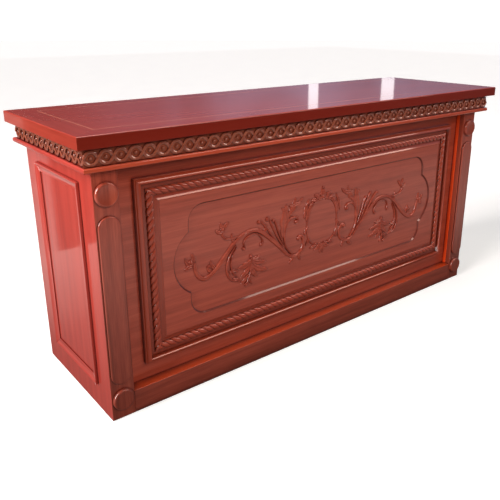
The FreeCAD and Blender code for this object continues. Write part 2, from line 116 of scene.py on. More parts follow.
# %% [markdown]
# ## Colours and nodes
# Colours are picked as sRGB hex values, as a paint program shows them. The shader works in linear
# light, so one function turns hex into linear. Another adds a node to a material, sets its values
# and links its inputs, so that each finish below reads as a short list.

# %% Helpers for colours and nodes
def linear(hex_colour):
    """An sRGB hex colour as linear RGBA."""
    shares = [int(hex_colour[k:k + 2], 16) / 255 for k in (1, 3, 5)]
    return tuple(s / 12.92 if s <= 0.04045 else ((s + 0.055) / 1.055) ** 2.4 for s in shares) + (1.0,)


def add_node(tree, kind, inputs=(), **properties):
    """Adds one node. An input is given a value, or the socket that feeds it."""
    made = tree.nodes.new("ShaderNode" + kind)
    for name, value in properties.items():
        setattr(made, name, value)
    for name, value in dict(inputs).items():
        if isinstance(value, bpy.types.NodeSocket):
            tree.links.new(value, made.inputs[name])
        else:
            made.inputs[name].default_value = value
    return made


def new_tree(owner):
    """An empty node tree for a material or a world."""
    owner.use_nodes = True
    owner.node_tree.nodes.clear()
    return owner.node_tree


def set_ramp(ramp, stops):
    """Gives a colour ramp its stops, as pairs of place and colour."""
    elements = ramp.color_ramp.elements
    while len(elements) < len(stops):
        elements.new(1.0)
    for element, (place, colour) in zip(elements, stops):
        element.position = place
        element.color = colour


print("lacquer red", [round(c, 3) for c in linear("#a63a30")])

# %% [markdown]
# ## Studio
# A pale floor and a white backdrop, daylight from the left and nine softboxes. Daylight and the left
# softbox make the end of the table bright and leave the carved front in half shade. The lacquer is a
# mirror at a low angle, so what it reflects matters as much as what shines on it. Some softboxes only
# shine on the wood. Others are only mirrored, and draw the bright lines along the mouldings and along
# the rim of the panel. A grey sheet on the floor and a dark card behind the table are seen by
# reflections only, and give the end panel its darker upper half.

# %% Paint for the stage
MOTTLE_PER_METRE = 3.0
FRONT_FADE = (-1.5, -2.5)  # the sheet turns dark between these two lines in front of the table
SHADE_REACH = 0.8
SHADE_DEPTH = 0.85


def stage_paint(name, low, high, glow=0.0, front=None):
    """A matt paint with a faint mottle. It can glow, and turn to another tone far in front of the table and,
    as a painted shadow, close round it.
    """
    paint = bpy.data.materials.new(name)
    tree = new_tree(paint)
    place = add_node(tree, "TexCoord").outputs["Object"]
    mottle = add_node(tree, "TexNoise", {"Vector": place, "Scale": MOTTLE_PER_METRE, "Detail": 3.0})
    tone = add_node(tree, "ValToRGB", {"Fac": mottle.outputs["Fac"]})
    set_ramp(tone, [(0.3, linear(low)), (0.7, linear(high))])
    paint_tone = tone.outputs["Color"]
    if front:
        part = add_node(tree, "SeparateXYZ", {"Vector": place})
        nearer = add_node(tree, "MapRange", {
            "Value": part.outputs["Y"], "From Min": FRONT_FADE[0], "From Max": FRONT_FADE[1],
        })
        side = add_node(tree, "Math", {0: part.outputs["X"]}, operation="ABSOLUTE")
        depth = add_node(tree, "Math", {0: part.outputs["Y"]}, operation="ABSOLUTE")
        beyond_end = add_node(tree, "Math", {0: side.outputs[0], 1: cad_box[1][0]}, operation="SUBTRACT")
        beyond_front = add_node(tree, "Math", {0: depth.outputs[0], 1: cad_box[1][1]}, operation="SUBTRACT")
        away = add_node(tree, "Math", {
            0: beyond_end.outputs[0], 1: beyond_front.outputs[0],
        }, operation="MAXIMUM")
        shade = add_node(tree, "MapRange", {
            "Value": away.outputs[0], "From Max": SHADE_REACH, "To Min": SHADE_DEPTH, "To Max": 0.0,
        })
        darker = add_node(tree, "Math", {
            0: nearer.outputs["Result"], 1: shade.outputs["Result"],
        }, operation="MAXIMUM")
        paint_tone = add_node(tree, "Mix", {
            0: darker.outputs[0], 6: paint_tone, 7: linear(front),
        }, data_type="RGBA").outputs[2]
    surface = add_node(tree, "BsdfPrincipled", {
        "Base Color": paint_tone, "Roughness": 0.8, "Specular IOR Level": 0.1,
        "Emission Color": paint_tone, "Emission Strength": glow,
    })
    add_node(tree, "OutputMaterial", {"Surface": surface.outputs["BSDF"]})
    return paint


floor_paint = stage_paint("matt floor paint", "#dadada", "#dededd", glow=0.75)
backdrop_paint = stage_paint("white backdrop", "#fdfdfd", "#ffffff", glow=1.0)
# the sheet is dark far in front, and dark close round the table as a painted shadow
sheet_paint = stage_paint("grey floor sheet", "#9c9896", "#aaa6a2", front="#2a2624")
card_paint = stage_paint("black card", "#181515", "#201c1c")
print(len(bpy.data.materials), "materials with the stage paints")

# %% Floor, backdrop and cards
FLOOR_SIZE = 60
BACKDROP_RADIUS = 29
SHEET_SIZE = 30
SHEET_LIFT = 0.2 * MM
CARD_PLACE = (-1.9, 1.08, 0.36)
CARD_SIZE = (1.6, 1, 0.72)


def stage_piece(name, paint, camera_sees):
    """Names a stage piece and says whether the camera or only reflections see it."""
    piece = bpy.context.object
    piece.name = name
    piece.data.materials.append(paint)
    if camera_sees:
        piece.visible_glossy = piece.visible_diffuse = False
    else:
        piece.visible_camera = piece.visible_shadow = False


bpy.ops.object.select_all(action="DESELECT")
bpy.ops.mesh.primitive_plane_add(size=FLOOR_SIZE)
stage_piece("floor", floor_paint, True)
bpy.ops.mesh.primitive_uv_sphere_add(segments=48, ring_count=24, radius=BACKDROP_RADIUS)
stage_piece("backdrop", backdrop_paint, True)
bpy.context.object.visible_shadow = False
bpy.ops.mesh.primitive_plane_add(size=SHEET_SIZE, location=(0, 0, SHEET_LIFT))
stage_piece("reflected_floor", sheet_paint, False)
bpy.ops.mesh.primitive_plane_add(size=1, location=CARD_PLACE, rotation=(math.pi / 2, 0, 0))
bpy.ops.transform.resize(value=CARD_SIZE)
stage_piece("reflected_card", card_paint, False)
print("floor", FLOOR_SIZE, "m, backdrop", BACKDROP_RADIUS, "m, sheet", SHEET_SIZE, "m")

# %% Room
CLOUD_SCALE = 6.0
PALE_SIDE = (0.3, 0.7)  # shares of the way to the right
EYE_BAND = (0.2, 0.45)  # shares of the way up


def studio_room():
    """The room as reflections see it: cloudy and pale to the right at eye height, dim elsewhere."""
    room = bpy.data.worlds.new("studio room")
    bpy.context.scene.world = room
    tree = new_tree(room)
    direction = add_node(tree, "TexCoord").outputs["Generated"]
    part = add_node(tree, "SeparateXYZ", {"Vector": direction})
    haze = add_node(tree, "TexNoise", {
        "Vector": direction, "Scale": CLOUD_SCALE, "Detail": 3.0, "Distortion": 1.0,
    })
    side = add_node(tree, "MapRange", {
        "Value": part.outputs["X"], "From Min": PALE_SIDE[0], "From Max": PALE_SIDE[1],
    })
    cloud = add_node(tree, "Math", {0: side.outputs["Result"], 1: haze.outputs["Fac"]}, operation="MULTIPLY")
    walls = add_node(tree, "ValToRGB", {"Fac": cloud.outputs["Value"]})
    set_ramp(walls, [(0.05, linear("#3c3844")), (0.6, linear("#8490aa"))])
    band = add_node(tree, "MapRange", {
        "Value": part.outputs["Z"], "From Min": EYE_BAND[0], "From Max": EYE_BAND[1],
    })
    whole = add_node(tree, "Mix", {
        0: band.outputs["Result"], 6: walls.outputs["Color"], 7: linear("#58585c"),
    }, data_type="RGBA")
    glow = add_node(tree, "Background", {"Color": whole.outputs[2], "Strength": 1.0})
    add_node(tree, "OutputWorld", {"Surface": glow.outputs["Background"]})
    return room


print("world:", studio_room().name)

# %% Lights
DAYLIGHT_SPREAD = math.radians(30)
DAYLIGHT_STRENGTH = 5.0
DAYLIGHT_WAY = (0.92, 0.04, -0.38)


def aim(light, toward):
    """Turns a light to shine along a direction."""
    light.rotation_euler = Vector(toward).to_track_quat("-Z", "Y").to_euler()


def soft_light(name, place, target, size, power, tint, mirrored=True, shining=True):
    """A softbox that lights the wood, is mirrored in the lacquer, or both."""
    bpy.ops.object.light_add(type="AREA", location=place)
    light = bpy.context.object
    light.name = name
    aim(light, Vector(target) - Vector(place))
    light.data.shape = "RECTANGLE"
    light.data.size = size[0]
    light.data.size_y = size[1]
    light.data.energy = power
    light.visible_camera = False
    light.visible_glossy = mirrored
    light.visible_diffuse = shining
    light.data.color = linear(tint)[:3]


bpy.ops.object.light_add(type="SUN", location=(-3, -1, 3))
daylight = bpy.context.object
daylight.name = "left_daylight"
daylight.data.angle = DAYLIGHT_SPREAD
daylight.data.energy = DAYLIGHT_STRENGTH
daylight.data.color = linear("#fff6f2")[:3]
aim(daylight, DAYLIGHT_WAY)
soft_light("left_softbox", (-2.3, 0.3, 2.0), (-0.8, 0, 0.4), (0.9, 1.2), 52, "#fff2f0")
soft_light("overhead_softbox", (0.2, 0.1, 3.4), (0, 0, 0), (3.0, 1.6), 60, "#fffaf4")
soft_light("right_softbox", (2.0, -2.15, 2.05), (2.0, -0.2, 0.4), (3.0, 0.7), 54, "#ffdccb", shining=False)
# so narrow that the rim's straight lower edge mirrors it and the round corners do not
soft_light("rim_softbox", (2.05, -1.575, 2.5), (2.05, -1.565, 0), (1.3, 0.09), 3.0, "#ffd8c8", shining=False)
soft_light("front_softbox", (-0.1, -2.9, 2.1), (-0.1, -0.2, 0.4), (2.4, 1.2), 62, "#fff0e4", mirrored=False)
soft_light("front_fill", (-1.5, -3.0, 1.7), (-0.4, -0.2, 0.4), (1.6, 1.2), 30, "#fff0e4", mirrored=False)
soft_light("rear_softbox", (0.4, 3.2, 2.6), (0.2, 0, 0.4), (2.6, 1.0), 45, "#fffaf4", mirrored=False)
soft_light("rear_strip_near", (4.82, 5.0, 1.6), (0.1, 0, 0.76), (0.14, 0.5), 0.3, "#ffffff")
soft_light("rear_strip_far", (6.45, 5.0, 1.62), (0.4, 0, 0.76), (0.2, 0.5), 0.4, "#ffffff")
bpy.context.scene.view_settings.view_transform = "Standard"

# %% [markdown]
# ## Lacquered wood
# The table is stained a mahogany red and sprayed with clear gloss lacquer. Three things show: long
# soft bands of tone along the board, fine pores drawn out along the grain, and the clear coat that
# lies over both and carries the reflections. Grain runs along a board, so there is one material for
# each direction. Light and shade are also painted into the stain. An Ambient Occlusion node that looks
# out from the surface sees little of the room in a hollow, and there it darkens the stain as painted
# shade. Another that looks into the wood sees little wood under an arris, and there it lightens the
# stain, partly as wear from sandpaper and partly as a painted highlight. On some boards the faces that
# look one way take another colour: painted light along the top edge of the plinth rail, painted shade
# on the front edge of the top and on the walls of the cartouche. Painted shade also darkens the ends
# and pilasters towards the floor. Each of these is one short function, and a last one puts them
# together, so that the woods differ in tone and finish only.

# %% Grain and pores
GRAIN_LENGTH = 500 * MM
GRAIN_WIDTH = 16 * MM
PORE_LENGTH = 60 * MM
PORE_WIDTH = 2.4 * MM  # real pores are about 0.3 mm wide, drawn coarser so that they show


def grain_and_pores(tree, place, along):
    """The two patterns of the wood, drawn out along one axis: soft bands of tone, and fine pores."""
    figure_scale = [1 / GRAIN_LENGTH if axis == along else 1 / GRAIN_WIDTH for axis in "XYZ"]
    pore_scale = [1 / PORE_LENGTH if axis == along else 1 / PORE_WIDTH for axis in "XYZ"]
    figure_place = add_node(tree, "Mapping", {"Vector": place, "Scale": figure_scale})
    pore_place = add_node(tree, "Mapping", {"Vector": place, "Scale": pore_scale})
    figure = add_node(tree, "TexNoise", {
        "Vector": figure_place.outputs["Vector"], "Scale": 1.0,
        "Detail": 3.0, "Roughness": 0.5, "Distortion": 0.2,
    })
    pores = add_node(tree, "TexNoise", {
        "Vector": pore_place.outputs["Vector"], "Scale": 1.0, "Detail": 2.0,
    })
    return figure.outputs["Fac"], pores.outputs["Fac"]


print("figure", round(GRAIN_WIDTH / MM), "mm wide, pores", round(PORE_WIDTH / MM, 1), "mm wide")

# %% Painted shade in the hollows, wear and painted highlight on the arrises
PORE_SHARE = 0.38
TONE_STOPS = (0.34, 0.5, 0.66)
HOLLOW_STOPS = (0.4, 0.9)
ARRIS_BAND = 1.2 * MM
ARRIS_STOPS = (0.2, 0.8)
# a pale tint along the arrises: worn stain and a painted highlight
ARRIS_WEAR_HIGHLIGHT_TINT = "#c0654a"


def painted_hollow_shade(tree, reach, hollow):
    """Painted shade: white in the open, and the tint of the hollows where corners are within reach."""
    hollows = add_node(tree, "AmbientOcclusion", {"Distance": reach}, samples=6)
    hollow_shade = add_node(tree, "ValToRGB", {"Fac": hollows.outputs["AO"]})
    set_ramp(hollow_shade, list(zip(HOLLOW_STOPS, (linear(hollow), linear("#ffffff")))))
    return hollow_shade.outputs["Color"]


def stained(tree, figure, pores, tones, hollow_shade):
    """Three tones of stain, laid out by the grain and darkened by the painted shade in the hollows."""
    blend = add_node(tree, "Mix", {0: PORE_SHARE, 2: figure, 3: pores}, data_type="FLOAT")
    stain = add_node(tree, "ValToRGB", {"Fac": blend.outputs[0]})
    set_ramp(stain, list(zip(TONE_STOPS, (linear(tone) for tone in tones))))
    return add_node(tree, "Mix", {
        0: 1.0, 6: stain.outputs["Color"], 7: hollow_shade,
    }, data_type="RGBA", blend_type="MULTIPLY").outputs[2]


def arris_wear_and_highlight(tree, colour, wear):
    """The colour lighter along the arrises: partly stain rubbed thin, partly a painted highlight."""
    arrises = add_node(
        tree, "AmbientOcclusion", {"Distance": ARRIS_BAND}, samples=6, inside=True, only_local=True,
    )
    rubbed = add_node(tree, "MapRange", {
        "Value": arrises.outputs["AO"], "From Min": ARRIS_STOPS[0], "From Max": ARRIS_STOPS[1],
        "To Min": wear, "To Max": 0.0,
    })
    return add_node(tree, "Mix", {
        0: rubbed.outputs["Result"], 6: colour, 7: linear(ARRIS_WEAR_HIGHLIGHT_TINT),
    }, data_type="RGBA").outputs[2]


print("arrises are rubbed", round(ARRIS_BAND / MM, 1), "mm wide")

# %% Painted shade at the foot, and painted light and shade by facing
FOOT_SHADE_RISE = (100 * MM, 600 * MM)
FACING_TINT_COVER = 0.85


def painted_foot_shade(tree, colour, place, foot):
    """The colour with painted shade, darker towards the floor."""
    height = add_node(tree, "SeparateXYZ", {"Vector": place}).outputs["Z"]
    rise = add_node(tree, "MapRange", {
        "Value": height, "From Min": FOOT_SHADE_RISE[0], "From Max": FOOT_SHADE_RISE[1], "To Min": foot,
    })
    return add_node(tree, "Mix", {
        0: 1.0, 6: colour, 7: rise.outputs["Result"],
    }, data_type="RGBA", blend_type="MULTIPLY").outputs[2]


def glazed_over(tree, colour, hollow_shade, glaze, glazed):
    """The colour tinted with another, from bare to full as a face looks along Y or away from it: painted
    light on some boards, painted shade on others.
    """
    face = add_node(tree, "NewGeometry").outputs["True Normal"]
    facing = add_node(tree, "SeparateXYZ", {"Vector": face})
    squarely = add_node(tree, "Math", {0: facing.outputs["Y"]}, operation="ABSOLUTE")
    covered = add_node(tree, "MapRange", {
        "Value": squarely.outputs[0], "From Min": glazed[0], "From Max": glazed[1], "To Max": FACING_TINT_COVER,
    })
    facing_tone = add_node(tree, "Mix", {
        0: 1.0, 6: linear(glaze), 7: hollow_shade,
    }, data_type="RGBA", blend_type="MULTIPLY")
    return add_node(tree, "Mix", {
        0: covered.outputs["Result"], 6: colour, 7: facing_tone.outputs[2],
    }, data_type="RGBA").outputs[2]


print("the foot is dull up to", round(FOOT_SHADE_RISE[1] / MM), "mm")

# %% One wood finish
PORE_DEPTH = 0.3 * MM
PORE_RELIEF = 0.1
PORE_SHEEN = (0.34, 0.46)
LACQUER_IOR = 1.5


def wood(
    name, along, tones, gloss=1.0, reach=6 * MM, wear=0.25, haze=0.07,
    glaze=None, glazed=(0.95, 0.85), foot=1.0, hollow="#8e3422",
):
    """Stained wood under clear lacquer, with its grain along one axis.

    gloss is how full the lacquer is and haze how rough. reach is how far from a corner the painted
    shade of a hollow goes, hollow its tint there, and wear how much an arris is lightened,
    partly as wear and partly as a painted highlight. glaze is a colour of painted light and shade for some
    faces: glazed runs from bare to full, as how squarely a face looks along Y. foot is the share of
    the colour left at the floor, where painted shade darkens it."""
    material = bpy.data.materials.new(name)
    tree = new_tree(material)
    place = add_node(tree, "TexCoord").outputs["Object"]
    figure, pores = grain_and_pores(tree, place, along)
    hollow_shade = painted_hollow_shade(tree, reach, hollow)
    colour = arris_wear_and_highlight(tree, stained(tree, figure, pores, tones, hollow_shade), wear)
    if foot < 1:
        colour = painted_foot_shade(tree, colour, place, foot)
    if glaze:
        colour = glazed_over(tree, colour, hollow_shade, glaze, glazed)
    sheen = add_node(tree, "MapRange", {"Value": pores, "To Min": PORE_SHEEN[0], "To Max": PORE_SHEEN[1]})
    relief = add_node(tree, "Bump", {"Height": pores, "Strength": PORE_RELIEF, "Distance": PORE_DEPTH})
    surface = add_node(tree, "BsdfPrincipled", {
        "Base Color": colour,
        "Roughness": sheen.outputs["Result"],
        "Normal": relief.outputs["Normal"],
        "IOR": LACQUER_IOR,
        "Specular IOR Level": 0.2,
        "Coat Weight": gloss,
        "Coat Roughness": haze,
        "Coat IOR": LACQUER_IOR,
    })
    add_node(tree, "OutputMaterial", {"Surface": surface.outputs["BSDF"]})
    return material


def wood_by_grain(name, grains, tones, **finish):
    """The same wood once for each direction that the grain runs in."""
    return {axis: wood(f"{name}, grain {axis}", axis, tones, **finish) for axis in grains}


print("wood finish ready, pores", round(PORE_DEPTH / MM, 1), "mm deep")

# %% The table's woods
# the tint of the deepest painted shade in hollows
DEEP_HOLLOW_SHADE = "#4c150d"
red_tones = ("#8e2e26", "#9c362d", "#a53c32")
top_tones = ("#842a1d", "#8f3123", "#983728")
shaded_edge_tones = ("#5e1b0d", "#68200f", "#722512")
front_half_shade_tones = ("#7c301f", "#8a3827", "#96422f")
dark_tones = ("#66291c", "#793325", "#8a3e2f")
pilaster_tones = ("#6f2c1d", "#853728", "#984633")
lit_nose_tones = ("#963a24", "#a14028", "#aa462b")
moulding_tones = ("#7c2d1a", "#86311d", "#8d3620")
lit_return_tones = ("#c43a10", "#cf4013", "#d94718")
inlay_tones = ("#a5604a", "#b47058", "#bf7d64")
# the ends: a clear red that takes bright reflections, with painted shade darker near the floor
red_wood = wood_by_grain("mahogany, gloss lacquer", "XYZ", red_tones, foot=0.75)
# the top: browner, because the room's blue-grey reflection adds the plum
top_wood = wood_by_grain("mahogany top, gloss lacquer", "XY", top_tones)
# behind the carved frieze: deep red, a darker copy as painted shade under the top, so that the carving
# stands out
shaded_edge_wood = wood_by_grain("mahogany edge, gloss lacquer", "X", shaded_edge_tones)
# the front of the top: like the rest from above, and from the front a dark red line of painted shade on the
# face that looks forward
top_edge_shaded_wood = wood_by_grain(
    "mahogany top, darker front edge", "X", top_tones, wear=0.1, glaze="#5c0e00", glazed=(0.5, 0.9),
)
# the front board: red-brown and quiet behind the frame, darker than the ends as painted half shade
front_half_shade_wood = wood_by_grain("mahogany front, gloss lacquer", "X", front_half_shade_tones)
# the pilasters: browner, with a strong figure, and dark at the foot with painted shade
dark_wood = wood_by_grain("mahogany pilaster, gloss lacquer", "Z", pilaster_tones, foot=0.65)
# the plinth rail: dull brown, with painted light making an orange line along its top edge and painted shade
# a dark one in the corner
rail_wood = wood_by_grain(
    "mahogany rail, lit top edge", "X", dark_tones, reach=30 * MM, glaze="#a8380f", hollow=DEEP_HOLLOW_SHADE,
)
# the front ledge: a lighter copy of the wood as painted light, its nose pale with a painted highlight
lit_nose_wood = wood_by_grain("mahogany ledge, gloss lacquer", "X", lit_nose_tones, wear=0.4)
# the frame: bright ridges between hollows darkened with painted shade
moulding_wood = wood_by_grain(
    "mahogany moulding, gloss lacquer", "XZ", moulding_tones, reach=16 * MM, hollow=DEEP_HOLLOW_SHADE,
)
# the returns of the pilasters: orange, a brighter copy of the wood with the daylight on them painted in
lit_return_wood = wood_by_grain("mahogany return, gloss lacquer", "Z", lit_return_tones)
# the inside: the front's colour with little shine
inner_wood = wood_by_grain("stained beech, satin lacquer", "XYZ", front_half_shade_tones, gloss=0.3)
# the string of inlay: a pale thread round the field of the top
inlay_wood = wood("maple string, gloss lacquer", "X", inlay_tones)
print(len(bpy.data.materials), "materials so far")

# %% [markdown]
# ## Softened boards
# A cabinet maker takes the sharp arris off every board with a block of sandpaper. The CAD boards
# have sharp edges, so each visible board gets a copy whose edges are rounded: the copy's loose
# triangles are merged, flat faces are joined again, and a Bevel modifier rounds the sharp edges.
# The copy then stands for its CAD node. The boards could be modelled again from boxes, but then their
# mitres and grooves would have to be measured a second time.

# %% Helpers for selecting and finishing
def only(piece):
    """Selects one piece and makes it active."""
    bpy.ops.object.select_all(action="DESELECT")
    piece.select_set(True)
    bpy.context.view_layer.objects.active = piece


def apply_modifier(piece, kind, **settings):
    """Adds a modifier, sets it and applies it."""
    only(piece)
    modifier = piece.modifiers.new(kind.title(), kind)
    for name, value in settings.items():
        setattr(modifier, name, value)
    bpy.ops.object.modifier_apply(modifier=modifier.name)


def finish_piece(piece, name, material, slot, *replaced, smooth=35):
    """Names a piece, paints it, smooths its shading, sets it on the root body and hides the CAD nodes it
    stands for.
    """
    only(piece)
    piece.name = piece.data.name = name
    piece.data.materials.clear()
    piece.data.materials.append(material)
    bpy.ops.object.shade_smooth_by_angle(angle=math.radians(smooth))
    apply_modifier(piece, "WEIGHTED_NORMAL", keep_sharp=True, weight=100)
    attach(piece, "root")
    if replaced:
        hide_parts(*replaced)
    return piece


print("helpers ready")

# %% A softened copy of a board
WELD = 0.005 * MM
FLAT_ANGLE = math.radians(0.5)
SHARP_ANGLE = math.radians(40)


def softened(node, material, slot, radius):
    """A copy of a CAD board with its sharp edges rounded."""
    piece = frame["nodes"][node].copy()
    piece.data = piece.data.copy()
    piece.parent = None
    piece.matrix_world = Matrix.Identity(4)
    bpy.context.collection.objects.link(piece)
    only(piece)
    bpy.ops.object.mode_set(mode="EDIT")
    bpy.ops.mesh.select_all(action="SELECT")
    bpy.ops.mesh.remove_doubles(threshold=WELD)
    bpy.ops.mesh.dissolve_limited(angle_limit=FLAT_ANGLE)
    bpy.ops.object.mode_set(mode="OBJECT")
    apply_modifier(piece, "BEVEL", width=radius, segments=3, limit_method="ANGLE", angle_limit=SHARP_ANGLE)
    return finish_piece(piece, node + "_board", material, slot, node)


print("edges sharper than", round(math.degrees(SHARP_ANGLE)), "degrees are rounded")

# %% Boards, with the grain along each one
FINE_ARRIS = 0.35 * MM
SANDED_ARRIS = 0.6 * MM
STRIP_ARRIS = 0.8 * MM
ROUND_ARRIS = 1.2 * MM
board_groups = (
    (top_edge_shaded_wood, FINE_ARRIS, {"top_border_front": "X"}),
    (shaded_edge_wood, FINE_ARRIS, {"frieze_front": "X"}),
    (top_wood, FINE_ARRIS, {
        "top_border_rear": "X", "top_border_left": "Y", "top_border_right": "Y", "top_field": "X",
    }),
    (red_wood, SANDED_ARRIS, {
        "ledge_rear": "X", "ledge_left": "Y", "ledge_right": "Y", "frieze_left": "Y", "frieze_right": "Y",
        "side_panel_left": "Z", "side_panel_right": "Z",
    }),
    (front_half_shade_wood, SANDED_ARRIS, {"front_board": "X"}),
    (dark_wood, ROUND_ARRIS, {"pilaster_left": "Z", "pilaster_right": "Z"}),
    (inner_wood, ROUND_ARRIS, {
        "sub_top": "X", "frieze_rear": "X", "shelf": "X", "shelf_divider": "Y", "shelf_cleat_front": "X",
        "shelf_cleat_left": "Y", "shelf_cleat_right": "Y",
        "corner_batten_left": "Z", "corner_batten_right": "Z",
    }),
    (lit_return_wood, SANDED_ARRIS, {"pilaster_return_left": "Z", "pilaster_return_right": "Z"}),
    (rail_wood, ROUND_ARRIS, {"plinth_rail": "X"}),
    (lit_nose_wood, SANDED_ARRIS, {"ledge_front": "X"}),
)
slots = {entry["node"]: entry["material_slot"] for entry in frame["record"]["subparts"]}
for woods, radius, group in board_groups:
    for board_node, grain in group.items():
        softened(board_node, woods[grain], slots[board_node], radius)
for side in ("left", "right"):
    for edge, grain in (("bottom", "Y"), ("top", "Y"), ("front", "Z"), ("rear", "Z")):
        strip = f"side_moulding_{side}_{edge}"
        softened(strip, red_wood[grain], slots[strip], STRIP_ARRIS)
inlay = frame["nodes"]["top_inlay"]
inlay.data.materials.clear()
inlay.data.materials.append(inlay_wood)

# %% [markdown]
# ## The picture frame
# Four lengths of one moulding, mitred at the corners, frame the panel. The moulding was run on a
# spindle: a round band that climbs to a ridge, a steep side down to the seat of the rope, and a hollow
# up to the panel. Sanding left a narrow flat on the ridge, and it is this flat that flashes along the
# foot of the frame. A moulding is a section drawn once and pulled along, so we list the corners of the
# section and join the two ends. Every corner of an end is as far in as its place in the section, and
# that is all that a mitre is. The CAD lengths are made of long slanting triangles, which a bevel along
# the ridge would tangle, and so these four are made anew.

# %% The section of the moulding
# the section in millimetres: how far in from the outer edge, and how far out from the board
OUTER_EDGE = (0, 13)
BAND_CENTRE = (14, 8)
BAND_RADIUS = 13
BAND_SWEEP = (67.4, 6.5)
BAND_STEPS = 6
RIDGE_INSIDE = (14.56, 19.33)
ROPE_SEAT = (18, 9)
COVE_CENTRE = (51, 29)
COVE_RADIUS = 20
COVE_SWEEP = 36.9
COVE_STEPS = 4
LIP = (65, 13)
REBATE = (56, 6)
section = [(0, 0), OUTER_EDGE]
for step in range(BAND_STEPS + 1):
    lean = math.radians(BAND_SWEEP[0] + (BAND_SWEEP[1] - BAND_SWEEP[0]) * step / BAND_STEPS)
    inset = BAND_CENTRE[0] - BAND_RADIUS * math.sin(lean)
    section.append((inset, BAND_CENTRE[1] + BAND_RADIUS * math.cos(lean)))
section += [RIDGE_INSIDE, ROPE_SEAT]
for step in range(COVE_STEPS + 1):
    lean = math.radians(COVE_SWEEP * step / COVE_STEPS)
    inset = COVE_CENTRE[0] + COVE_RADIUS * math.sin(lean)
    section.append((inset, COVE_CENTRE[1] - COVE_RADIUS * math.cos(lean)))
section += [LIP, (LIP[0], REBATE[1]), REBATE, (REBATE[0], 0)]
print("section of", len(section), "corners,", LIP[0], "mm wide")

# %% Four mitred lengths
RIDGE_ROUND = 0.35 * MM
RIDGE_ANGLE = math.radians(50)
AXIS_X, AXIS_Y, AXIS_Z = (Vector(axis) for axis in ((1, 0, 0), (0, 1, 0), (0, 0, 1)))
frame_sides = {
    "frame_bottom": ("X", AXIS_X, AXIS_Z),
    "frame_top": ("X", AXIS_X, -AXIS_Z),
    "frame_left": ("Z", AXIS_Z, AXIS_X),
    "frame_right": ("Z", AXIS_Z, -AXIS_X),
}
spots = [v.co for node in frame_sides for v in frame["nodes"][node].data.vertices]
low = Vector([min(spot[axis] for spot in spots) for axis in range(3)])
high = Vector([max(spot[axis] for spot in spots) for axis in range(3)])
half = (high - low) / 2
middle = Vector((low.x + half.x, high.y, low.z + half.z))
count = len(section)
faces = [(i, (i + 1) % count, count + (i + 1) % count, count + i) for i in range(count)]
faces += [tuple(range(count)), tuple(range(count, 2 * count))]
for node, (grain, along, inward) in frame_sides.items():
    length, depth = abs(half.dot(along)), abs(half.dot(inward))
    corners = []
    for end in (-1, 1):
        for inset, height in section:
            mitre = along * end * (length - inset * MM) - inward * (depth - inset * MM)
            corners.append(middle + mitre - AXIS_Y * height * MM)
    mesh = bpy.data.meshes.new(node)
    mesh.from_pydata(corners, [], faces)
    member = bpy.data.objects.new(node, mesh)
    bpy.context.collection.objects.link(member)
    only(member)
    bpy.ops.object.mode_set(mode="EDIT")
    bpy.ops.mesh.select_all(action="SELECT")
    bpy.ops.mesh.normals_make_consistent(inside=False)
    bpy.ops.object.mode_set(mode="OBJECT")
    apply_modifier(
        member, "BEVEL", width=RIDGE_ROUND, segments=3, limit_method="ANGLE", angle_limit=RIDGE_ANGLE,
    )
    finish_piece(member, node + "_board", moulding_wood[grain], slots[node], node, smooth=20)
print("frame of", len(frame_sides), "mitred lengths,", [round(size / MM) for size in 2 * half], "mm")

# %% [markdown]
# ## Carved surfaces
# A carver thinks of a ribbon or a leaf as a surface: so far along, so far across, so high. We do the
# same with a grid. Each vertex of a flat grid is moved to where a short formula puts it, and then the
# whole sheet is extruded back to the ground, so that it becomes a closed piece of wood. What comes off
# a lathe, such as a button, a bud or a roundel, is a profile spun round its axis instead.

# %% A grid that a formula bends
def carved_sheet(along, across, place, to_ground):
    """A grid bent by place(u, v), with u and v from 0 to 1, and closed down to the ground."""
    bpy.ops.object.select_all(action="DESELECT")
    bpy.ops.mesh.primitive_grid_add(x_subdivisions=along, y_subdivisions=across, size=1)
    sheet = bpy.context.object
    for vertex in sheet.data.vertices:
        vertex.co = place(vertex.co.x + 0.5, vertex.co.y + 0.5)
    bpy.ops.object.mode_set(mode="EDIT")
    bpy.ops.mesh.select_all(action="SELECT")
    bpy.ops.mesh.extrude_region_move()
    bpy.ops.object.mode_set(mode="OBJECT")
    for vertex in sheet.data.vertices:
        if vertex.select:
            vertex.co = to_ground(vertex.co)
    bpy.ops.object.mode_set(mode="EDIT")
    bpy.ops.mesh.select_all(action="SELECT")
    bpy.ops.mesh.normals_make_consistent(inside=False)
    bpy.ops.object.mode_set(mode="OBJECT")
    return sheet


print("sheets ready")

# %% A turned piece
HAIR = 0.01 * MM  # closer than this counts as the same place


